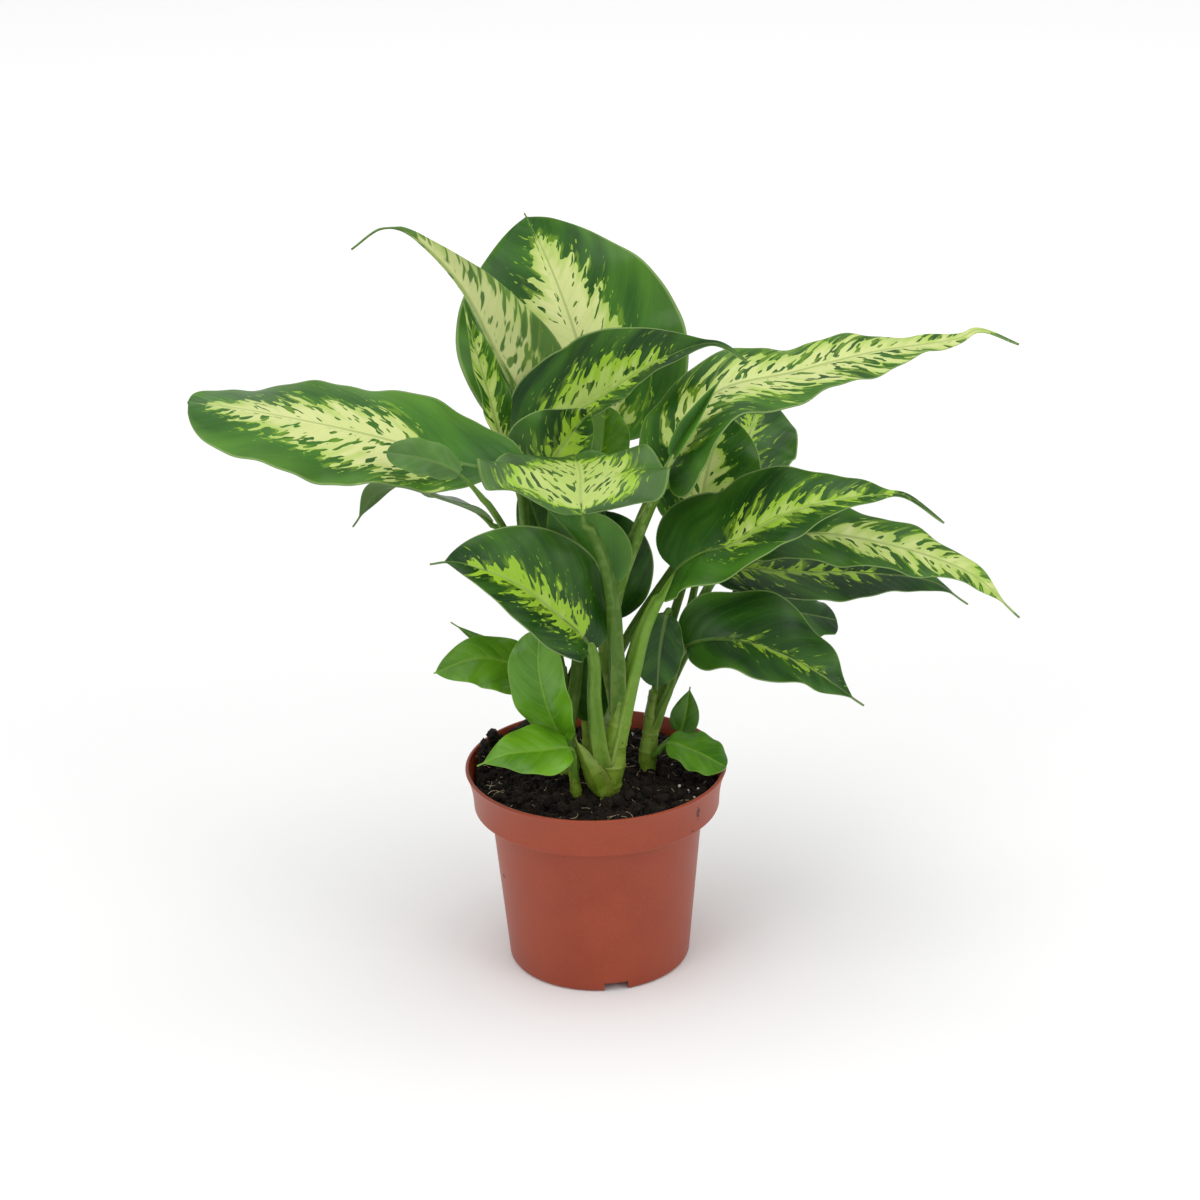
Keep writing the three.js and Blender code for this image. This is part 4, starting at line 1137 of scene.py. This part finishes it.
# %% The pot's section, turned
POT = dict(  # radii and heights, in millimetres
    rim=60, height=96, collar=56.4, collar_height=20, flare=2.2, body=48.8, foot=42, wall=1.6,
    floor=2, bevel=1.2, rounding=0.5, foot_height=4.5, foot_wall=3, draft=0.5, boss=24,
    notch=(11, 12, 9), notch_turns=(10, 130, 250), drain=3.5, drains=6, drain_turn=40, sides=192,
    sharp=40,  # degrees from which an edge stays sharp
)
UNDER = POT["height"] - POT["collar_height"]


def collar_at(share):
    return POT["collar"] + (POT["rim"] - POT["collar"]) * share ** POT["flare"]


def rounded(corners, radius, steps=5):
    """A line through corners, each turned into a small arc of at most that radius."""
    line = [corners[0]]
    for before, corner, after in zip(corners, corners[1:], corners[2:]):
        before, corner, after = map(np.array, (before, corner, after))
        back, ahead = before - corner, after - corner
        reach = min(radius, *(np.linalg.norm(v) * 0.45 for v in (back, ahead)))
        start, end = corner + unit(back) * reach, corner + unit(ahead) * reach
        for t in np.linspace(0, 1, steps):
            line.append((1 - t) ** 2 * start + 2 * t * (1 - t) * corner + t**2 * end)
    return [tuple(map(float, point)) for point in [*line, corners[-1]]]


def pot_section():
    p = POT
    deck = p["foot_height"] + p["floor"]
    drained = p["foot"] - p["foot_wall"]
    shares = np.linspace(0.1, 0.9, 7)
    flare = [(collar_at(t), UNDER + t * p["collar_height"]) for t in shares]
    corners = [
        (0, 0), (p["boss"], 0), (p["boss"] + p["draft"], p["foot_height"]),
        (drained - p["draft"], p["foot_height"]), (drained, 0), (p["foot"] - p["bevel"], 0),
        (p["foot"], p["bevel"]), (p["body"], UNDER), (p["collar"] - p["bevel"], UNDER),
        (p["collar"], UNDER + p["bevel"]), *flare,
        (p["rim"], p["height"] - p["bevel"] / 2), (p["rim"] - p["bevel"] / 2, p["height"]),
        (p["rim"] - p["wall"], p["height"]), *[(r - p["wall"], z) for r, z in flare[::-1]],
        (p["collar"] - p["wall"], UNDER + p["floor"]), (p["body"] - p["wall"], UNDER),
        (p["foot"] - p["wall"], deck + p["bevel"]), (p["foot"] - p["wall"] - p["bevel"], deck),
        (p["boss"] - p["draft"], deck), (p["boss"] - p["floor"] - p["draft"], p["floor"]),
        (0, p["floor"]),
    ]
    return rounded(corners, p["rounding"])


def turned(section, sides):
    """A closed solid from half of its section, from the axis round the outside to the axis."""
    bm = bmesh.new()
    line = [bm.verts.new((0, -r * MM, z * MM)) for r, z in section]
    for first, second in zip(line, line[1:]):
        bm.edges.new((first, second))
    bmesh.ops.spin(
        bm, geom=bm.verts[:] + bm.edges[:], axis=(0, 0, 1), cent=(0, 0, 0), steps=sides,
        angle=2 * math.pi, use_merge=True,
    )
    bmesh.ops.remove_doubles(bm, verts=bm.verts[:], dist=1e-6)
    bmesh.ops.recalc_face_normals(bm, faces=bm.faces[:])
    return mesh_from(bm, "pot_turned")


def turn_to(degrees, radius):
    """A place round the axis, in metres: 0 degrees is the front, 90 the right."""
    angle = math.radians(degrees)
    return Vector((math.sin(angle) * radius * MM, -math.cos(angle) * radius * MM, 0))


def cutters():
    """Every notch and drain hole, as one mesh of blocks and rods."""
    bm = bmesh.new()
    for degrees in POT["notch_turns"]:
        turn = Matrix.Rotation(math.radians(degrees), 4, "Z")
        size = Matrix.Diagonal((*(length * MM for length in POT["notch"]), 1))
        place = Matrix.Translation(turn_to(degrees, POT["foot"]))
        bmesh.ops.create_cube(bm, size=1, matrix=place @ turn @ size)
    middle = (POT["boss"] + POT["foot"] - POT["foot_wall"]) / 2
    for index in range(POT["drains"]):
        place = turn_to(index * 360 / POT["drains"] + POT["drain_turn"], middle)
        bmesh.ops.create_cone(
            bm, cap_ends=True, segments=32, radius1=POT["drain"] * MM, radius2=POT["drain"] * MM,
            depth=4 * POT["foot_height"] * MM, matrix=Matrix.Translation(place),
        )
    return mesh_from(bm, "cutters")


def settled(thing):
    """The mesh that an object's modifiers make, and the object removed."""
    graph = bpy.context.evaluated_depsgraph_get()
    mesh = bpy.data.meshes.new_from_object(thing.evaluated_get(graph), depsgraph=graph)
    mesh.name = thing.name
    bpy.data.objects.remove(thing)
    return mesh


def in_order(cut, name):
    """The same mesh with its points and faces sorted, because a boolean shuffles them."""
    points = np.array([tuple(point.co) for point in cut.vertices])
    order = np.lexsort(points.T)
    place = np.argsort(order)
    faces = []
    for polygon in cut.polygons:
        corners = place[list(polygon.vertices)].tolist()
        first = corners.index(min(corners))
        faces.append(corners[first:] + corners[:first])
    mesh = bpy.data.meshes.new(name)
    mesh.from_pydata(points[order].tolist(), [], sorted(faces))
    return mesh


def pot_mesh():
    pot, cuts = put("turned", turned(pot_section(), POT["sides"])), put("cuts", cutters())
    cut = pot.modifiers.new("cut", "BOOLEAN")
    cut.operation = "DIFFERENCE"
    cut.solver = "EXACT"
    cut.object = cuts
    mesh = in_order(settled(pot), "pot_moulded")
    bpy.data.objects.remove(cuts)
    mesh.polygons.foreach_set("use_smooth", [True] * len(mesh.polygons))
    mesh.set_sharp_from_angle(angle=math.radians(POT["sharp"]))
    return mesh


# %% [markdown]
# ## Moulded terracotta-coloured plastic
#
# The plastic is satin, not matt: its colour has pigment clouds that one sees only close, the
# gate of the mould leaves faint rings round it, and handling leaves a few dark scuffs.

# %% The pot's finish
SCUFFS = [  # middle, and half lengths across, in depth and upright, in millimetres
    ((45.5, -36.0, 86.5), (1.0, 2.5, 4.6)),
    ((44.0, -37.5, 78.6), (2.6, 2.5, 0.7)),
    ((-43.6, -16.0, 47.0), (1.2, 2.5, 0.8)),
    ((-38.0, -40.0, 90.5), (0.8, 2.0, 1.1)),
]


def pot_plastic():
    finish = Finish("terracotta plastic")
    here = finish.place()
    cloud, fine = finish.cloud(here, 0.045, 3.0), finish.cloud(here, 0.9, 3.0)
    ragged = finish.cloud(here, 0.8, 3.0)

    def scuff(middle, half):
        away = finish.vector("SUBTRACT", here, {1: middle})
        away = finish.length(finish.vector("DIVIDE", away, {1: half}))
        return 1 - (away + (ragged - 0.5) * 2.2).step(0.7, 1.0)

    colour = finish.mix(cloud.step(0.3, 0.7), paint(141, 52, 20), paint(148, 58, 26))
    colour = finish.mix((fine - 0.45).step(0, 0.25) * 0.14, colour, paint(168, 88, 60))
    scuffed = sum(scuff(*place) for place in SCUFFS).limited()
    colour = finish.mix(scuffed * 0.85, colour, paint(62, 26, 20))
    rings = finish.cloud(finish.point(0.0, 0.0, here.part("Z")), 0.55, 2.0)
    return finish.shade({
        "Base Color": colour,
        "Roughness": 0.42 + (cloud - 0.5) * 0.2 + (fine - 0.5) * 0.14 + scuffed * 0.2,
        "Normal": finish.bump(rings * 0.25 + fine * 0.35, 0.16, 0.6),
        "Specular IOR Level": 0.44,
    })


piece_of(pot_mesh(), pot_plastic(), "pot", slot="pot_plastic")

# %% [markdown]
# ## Peat
#
# Potting peat is a heap of crumbs and fibres, so its surface is rough at every size. The
# ground is one round sheet with noise on it, closed below by the shape of the pot. Geometry
# Nodes then scatter crumbs, rootlets and a few white perlite beads over it.

# %% The ground
SOIL = dict(
    heap=5, heap_radius=26, roughness=1.1, lump_turn=222, lump_radius=46, lump_height=11,
    lump_spread=9, clear=0.4, edge=3, rings=90, sides=260, gap=0.3,
    ridge=15, ridge_turn=249, ridge_angle=20, ridge_radius=54.5, ridge_width=2.6,  # on the rim
)


def soil_height(x, y):
    """The height of the soil's surface, with ragged peat that stands on the rim."""
    lump = turn_to(SOIL["lump_turn"], SOIL["lump_radius"]) / MM
    heap = SOIL["heap"] * bell(np.hypot(x, y), SOIL["heap_radius"])
    heap = heap + SOIL["lump_height"] * bell(np.hypot(x - lump.x, y - lump.y), SOIL["lump_spread"])
    waves = np.sin(x * 0.83 + 1.3) * np.cos(y * 0.71) + np.sin(x * 0.37 - y * 0.53 + 2)
    turned = np.degrees(np.arctan2(x, -y)) % 360
    ragged = 0.35 + 0.55 * np.sin(turned * 0.36 + 1.9) ** 2 + 0.1 * np.sin(turned * 1.9 + 1)
    ridge = bell(turned - SOIL["ridge_turn"], SOIL["ridge_angle"])
    ridge = ridge * bell(np.hypot(x, y) - SOIL["ridge_radius"], SOIL["ridge_width"])
    return SOIL_LEVEL + heap + SOIL["roughness"] * waves + SOIL["ridge"] * ridge * ragged


def soil_ground():
    brim = SOIL_LEVEL - SOIL["edge"]
    edge = collar_at((brim - UNDER) / POT["collar_height"]) - POT["wall"] - SOIL["clear"]
    turn = np.linspace(0, 2 * np.pi, SOIL["sides"], endpoint=False)
    wall = [  # the peat keeps clear of the boss, the floor, the foot, the wall and the collar
        (POT["boss"] - 3, POT["floor"] + 0.6), (POT["foot"] - 4, 7.4), (POT["foot"] - 2, 9.0),
        (POT["body"] - 2.2, UNDER + SOIL["gap"]), (POT["collar"] - 2.2, UNDER + 2.6),
    ]
    rings = [triples(np.sin(turn) * r, -np.cos(turn) * r, z) for r, z in wall]
    for ring in range(SOIL["rings"]):
        r = edge * (1 - ring / SOIL["rings"])
        x, y = np.sin(turn) * r, -np.cos(turn) * r
        rough = [
            noise.fractal(Vector((px * 0.16, py * 0.16, 3)), 0.9, 2.1, 4) * 1.7
            + noise.noise(Vector((px * 0.9, py * 0.9, 9))) * 0.35
            for px, py in zip(x, y)
        ]
        fade = min(1, ring / 3)
        rings.append(triples(x, y, soil_height(x, y) + np.array(rough) * fade))
    count = SOIL["sides"]
    faces = [face[::-1] for face in grid_faces(len(rings), count, closed=True)]
    points = np.concatenate([*rings, [[0, 0, float(soil_height(0, 0))]]])
    top = len(points) - 1
    faces += [[top - count + k, top - count + (k + 1) % count, top] for k in range(count)]
    faces.append(list(range(count))[::-1])
    return mesh_of("soil_peat", points, faces, {})


def peat():
    finish = Finish("moist peat")
    here = finish.place()
    coarse, fine = finish.cloud(here, 0.22, 4.0), finish.cloud(here, 1.4, 4.0)
    colour = finish.mix(coarse.step(0.35, 0.7), paint(12, 8, 5), paint(36, 25, 16))
    colour = finish.mix(fine.step(0.58, 0.78) * 0.6, colour, paint(104, 74, 48))
    return finish.shade({
        "Base Color": colour,
        "Roughness": 0.8 - fine.step(0.5, 0.8) * 0.3,
        "Normal": finish.bump(coarse * 0.6 + fine * 0.5, 1.4, 0.9),
        "Specular IOR Level": 0.25,
    })


PEAT = peat()
piece_of(soil_ground(), PEAT, "soil", slot="soil")

# %% [markdown]
# ## A small language for Geometry Nodes
#
# A scatter is a rule, and Geometry Nodes are Blender's way to write one. The helper adds a
# node, sets what it is told and links what it is given. Each rule's sizes are named inputs of
# its tree, so they can be changed on the modifier. Lengths in the trees are in metres.

# %% Trees with named inputs
class Rule:
    """A Geometry Nodes tree that puts small shapes on a ground, thickly where it says so."""

    def __init__(self, name, inputs):
        self.tree = bpy.data.node_groups.new(name, "GeometryNodeTree")
        face = self.tree.interface
        face.new_socket("Geometry", in_out="INPUT", socket_type="NodeSocketGeometry")
        self.keys = {}
        for label, value in inputs.items():
            kind = "NodeSocketInt" if isinstance(value, int) else "NodeSocketFloat"
            socket = face.new_socket(label, in_out="INPUT", socket_type=kind)
            socket.default_value = value
            self.keys[label] = socket.identifier
        face.new_socket("Geometry", in_out="OUTPUT", socket_type="NodeSocketGeometry")
        self.given = self.tree.nodes.new("NodeGroupInput").outputs

    def add(self, kind, settings, sockets, out=0):
        made = self.tree.nodes.new(kind)
        for key, value in settings.items():
            setattr(made, key, value)
        for key, value in sockets.items():
            for one in value if isinstance(value, list) else [value]:
                if isinstance(one, bpy.types.NodeSocket):
                    self.tree.links.new(one, made.inputs[key])
                else:
                    made.inputs[key].default_value = one
        return made.outputs[out]

    def math(self, operation, first, second):
        return self.add("ShaderNodeMath", {"operation": operation}, {0: first, 1: second})

    def vector(self, operation, first, key, second):
        settings = {"operation": operation}
        return self.add("ShaderNodeVectorMath", settings, {0: first, key: second})

    def chance(self, low, high, seed):
        """A different number at each place, from low to high."""
        sockets = {2: low, 3: high, "Seed": seed}
        return self.add("FunctionNodeRandomValue", {"data_type": "FLOAT"}, sockets, out=1)

    def turns(self, low, high, seed):
        """A different rotation at each place."""
        sockets = {0: low, 1: high, "Seed": seed}
        return self.add("FunctionNodeRandomValue", {"data_type": "FLOAT_VECTOR"}, sockets)

    def scatter(self, attribute, shapes, rotation, size):
        """One of the shapes at each of many places, most where the attribute is high."""
        settings = {"data_type": "FLOAT"}
        thick = self.add("GeometryNodeInputNamedAttribute", settings, {"Name": attribute})
        points = self.add("GeometryNodeDistributePointsOnFaces", {}, {
            "Mesh": self.given["Geometry"], "Seed": self.given["Seed"],
            "Density": self.math("MULTIPLY", thick, self.given["Density"]),
        })
        group = self.add("GeometryNodeGeometryToInstance", {}, {0: shapes})
        placed = self.add("GeometryNodeInstanceOnPoints", {}, {
            "Points": points, "Instance": group, "Pick Instance": True,
            "Rotation": rotation, "Scale": size,
        })
        return self.add("GeometryNodeRealizeInstances", {}, {0: placed})

    def end(self, geometry, material):
        sockets = {"Geometry": geometry, "Material": material}
        painted = self.add("GeometryNodeSetMaterial", {}, sockets)
        last = self.tree.nodes.new("NodeGroupOutput")
        self.tree.links.new(painted, last.inputs[0])

    def made_on(self, mesh, name, **values):
        """The mesh that this rule makes from another one."""
        thing = put(name, mesh.copy())
        modifier = thing.modifiers.new("rule", "NODES")
        modifier.node_group = self.tree
        for label, value in values.items():
            modifier[self.keys[label]] = value
        return settled(thing)


# %% [markdown]
# ## Crumbs
#
# Four different crumbs are enough, when each is turned and sized by chance. A crumb is a ball
# of 80 faces, pulled out of shape by noise, because there are more than a thousand of them.
# They lie thickest on the lump at the left and on the peat that stands above the rim.

# %% Crumbs on the peat
def crumb_rule(name, material, kinds, rough, apart=9.0):
    rule = Rule(name, {"Density": 9000.0, "Smallest": 0.0006, "Largest": 0.0022, "Seed": 1})
    shapes = []
    for kind in range(kinds):
        ball = rule.add("GeometryNodeMeshIcoSphere", {}, {"Radius": 1.0, "Subdivisions": 2})
        place = rule.add("GeometryNodeInputPosition", {}, {})
        moved = rule.vector("ADD", place, 1, (kind * apart, 0, 0))
        sockets = {"Vector": moved, "Scale": 1.1, "Detail": 1.0}
        cloud = rule.add("ShaderNodeTexNoise", {}, sockets, out=1)
        middle = rule.vector("SUBTRACT", cloud, 1, (0.5, 0.5, 0.5))
        pull = rule.vector("SCALE", middle, "Scale", rough)
        shapes.append(rule.add("GeometryNodeSetPosition", {}, {"Geometry": ball, "Offset": pull}))
    size = rule.chance(rule.given["Smallest"], rule.given["Largest"], seed=3)
    rotation = rule.turns((0, 0, 0), (6.283, 6.283, 6.283), seed=5)
    rule.end(rule.scatter("thick", shapes, rotation, size), material)
    return rule


TUFTS = [(22, -2), (32, 0), (51, -9), (-31, -30), (-10, -44), (10, -43), (-48, -6), (40, -28)]
THICK = dict(lump=2.2, lump_width=11, ridge=2.5, tuft=3, tuft_width=4, elsewhere=0.3)


def scatter_ground():
    """The part of the ground that shows, with how thickly crumbs and roots lie at each point."""
    reach = collar_at(0.5) - POT["wall"] - 1.6
    turn = np.linspace(0, 2 * np.pi, 180, endpoint=False)
    radii = np.linspace(reach, 1, 44)[:, None]
    x, y = np.sin(turn) * radii, -np.cos(turn) * radii
    points = triples(x, y, soil_height(x, y) + 0.2)
    faces = [face[::-1] for face in grid_faces(*x.shape, closed=True)]
    mesh = mesh_of("ground", points, faces, {})
    lump = turn_to(SOIL["lump_turn"], SOIL["lump_radius"]) / MM

    def near(x, y, width):
        return bell(np.hypot(points[:, 0] - x, points[:, 1] - y), width)

    above_rim = np.maximum(0, points[:, 2] - POT["height"])
    on_lump = near(lump.x, lump.y, THICK["lump_width"])
    tufts = sum(near(*tuft, THICK["tuft_width"]) for tuft in TUFTS)
    counts = {
        "thick": 1 + THICK["lump"] * on_lump + THICK["ridge"] * above_rim,
        "tufts": THICK["elsewhere"] + THICK["tuft"] * tufts,
    }
    for key, values in counts.items():
        layer = mesh.attributes.new(key, "FLOAT", "POINT")
        layer.data.foreach_set("value", values.astype(np.float32))
    return mesh


GROUND = scatter_ground()
crumbs = crumb_rule("crumbs", PEAT, kinds=4, rough=1.5)
CRUMBS = {
    "soil_crumbs": dict(Density=130000.0, Smallest=0.0004, Largest=0.0013, Seed=2),
    "soil_clods": dict(Density=17000.0, Smallest=0.0012, Largest=0.003, Seed=7),
}
for name, values in CRUMBS.items():
    piece_of(crumbs.made_on(GROUND, name, **values), PEAT, slot="soil")

# %% [markdown]
# ## Rootlets and perlite
#
# Fine pale roots and bits of straw lie on the peat, most of them flat and bent. Each is a
# short curve given a hair's thickness. White perlite beads keep the peat open to air.

# %% Rootlets on the peat
BENDS = (-0.5, -0.2, 0.25, 0.6)  # how far the middle of a rootlet is aside, as a share of it


def rootlet_rule(material):
    rule = Rule("rootlets", {"Density": 6000.0, "Thickness": 0.00014, "Length": 0.008, "Seed": 4})
    shapes = [
        rule.add("GeometryNodeCurveQuadraticBezier", {}, {
            "Resolution": 8, "Start": (-0.5, 0, 0.02), "Middle": (0, bend, 0.12),
            "End": (0.5, 0, 0),
        })
        for bend in BENDS
    ]
    flat = rule.turns((-0.25, -0.25, 0), (0.25, 0.25, 6.283), seed=6)
    size = rule.math("MULTIPLY", rule.chance(0.35, 1.0, seed=8), rule.given["Length"])
    curves = rule.scatter("tufts", shapes, flat, size)
    sockets = {"Resolution": 5, "Radius": rule.given["Thickness"]}
    ring = rule.add("GeometryNodeCurvePrimitiveCircle", {}, sockets)
    sockets = {"Curve": curves, "Profile Curve": ring, "Fill Caps": True}
    rule.end(rule.add("GeometryNodeCurveToMesh", {}, sockets), material)
    return rule


def plain_finish(name, low, high, roughness):
    finish = Finish(name)
    here = finish.place()
    soft = finish.cloud(here, 0.5, 3.0)
    return finish.shade({
        "Base Color": finish.mix(soft.step(0.3, 0.7), low, high),
        "Roughness": roughness + (soft - 0.5) * 0.2,
        "Normal": finish.bump(finish.cloud(here, 3.0, 3.0), 0.2, 0.6),
    })


ROOT = plain_finish("pale root", paint(110, 84, 56), paint(206, 190, 156), 0.7)
roots = rootlet_rule(ROOT).made_on(GROUND, "soil_rootlets", Density=22000.0, Length=0.009)
piece_of(roots, ROOT, slot="soil")
PERLITE = plain_finish("perlite", paint(196, 192, 182), paint(236, 234, 226), 0.85)
BEADS = dict(Density=1500.0, Smallest=0.0006, Largest=0.0011, Seed=5)
beads = crumb_rule("beads", PERLITE, kinds=2, rough=0.8)
piece_of(beads.made_on(GROUND, "soil_perlite", **BEADS), PERLITE, slot="soil")

# %% [markdown]
# ## Floor, light and camera
#
# A catalogue picture of a plant has a pale floor and light from large soft boxes: one
# overhead, one from each side. Soft light keeps the waxy leaves from glaring, and the shadow
# stays close to the pot.

# %% The studio
FLOOR_SIZE = 12.0
SKY = 0.74
MIDDLE = (0, 0, 0.18)
LAMPS = dict(  # place, side and power, in metres and watts
    overhead=((-0.05, -0.25, 2.2), 1.8, 20),
    front_left=((-1.1, -1.3, 1.0), 0.7, 4.5),
    front_right=((1.2, -0.9, 0.9), 0.7, 4),
)


def studio_floor():
    bm = bmesh.new()
    bmesh.ops.create_grid(bm, x_segments=1, y_segments=1, size=FLOOR_SIZE / 2)
    mesh = mesh_from(bm, "studio_floor")
    finish = Finish("pale floor")
    # painted light: away from the plant the floor turns paler and glows, so that it stays white
    # where the lamps no longer reach
    far = finish.length(finish.place()).step(250, 1400)
    mesh.materials.append(finish.shade({
        "Base Color": finish.mix(far, paint(243, 243, 243), paint(254, 254, 254)),
        "Emission Color": finish.mix(far, paint(0, 0, 0), paint(110, 110, 110)),
        "Emission Strength": 1.0,
        "Roughness": 0.85,
    }))
    floor = put("studio_floor", mesh)


def soft_box(name, place, size, power):
    """A square lamp that looks at the middle of the plant."""
    light = bpy.data.lights.new(name, "AREA")
    light.shape = "SQUARE"
    light.size = size
    light.energy = power
    lamp = put(name, light)
    lamp.location = place
    lamp.rotation_euler = (Vector(MIDDLE) - Vector(place)).to_track_quat("-Z", "Y").to_euler()


def sky(strength):
    """A sky that lights the plant with that strength, and that the camera sees white."""
    world = bpy.data.worlds.new("studio")
    world.use_nodes = True
    nodes, links = world.node_tree.nodes, world.node_tree.links
    nodes["Background"].inputs["Color"].default_value = (1, 1, 1, 1)
    ray, power = nodes.new("ShaderNodeLightPath"), nodes.new("ShaderNodeMapRange")
    power.inputs["To Min"].default_value = strength
    links.new(ray.outputs["Is Camera Ray"], power.inputs["Value"])
    links.new(power.outputs["Result"], nodes["Background"].inputs["Strength"])
    bpy.context.scene.world = world


studio_floor()
sky(SKY)
for name, lamp in LAMPS.items():
    soft_box(name, *lamp)
bpy.context.scene.view_settings.view_transform = "Standard"
print("lamps:", list(LAMPS))

# %% [markdown]
# ## The camera
#
# The picture was taken from about 1.3 metres away with a long lens, looking down at the pot.
# The place and tilt were worked out from the rim, the collar, the foot and the notch.

# %% The camera
CAMERA = dict(place=(3.4, -1158, 650), down=22.24, roll=-1.19, lens=83.9)
view = bpy.data.cameras.new("camera")
view.lens = CAMERA["lens"]
camera = put("camera", view)
camera.location = Vector(CAMERA["place"]) * MM
tilt = Matrix.Rotation(math.radians(90 - CAMERA["down"]), 4, "X")
camera.rotation_euler = (tilt @ Matrix.Rotation(math.radians(CAMERA["roll"]), 4, "Z")).to_euler()
bpy.context.scene.camera = camera
print("the camera stands at:", CAMERA["place"])
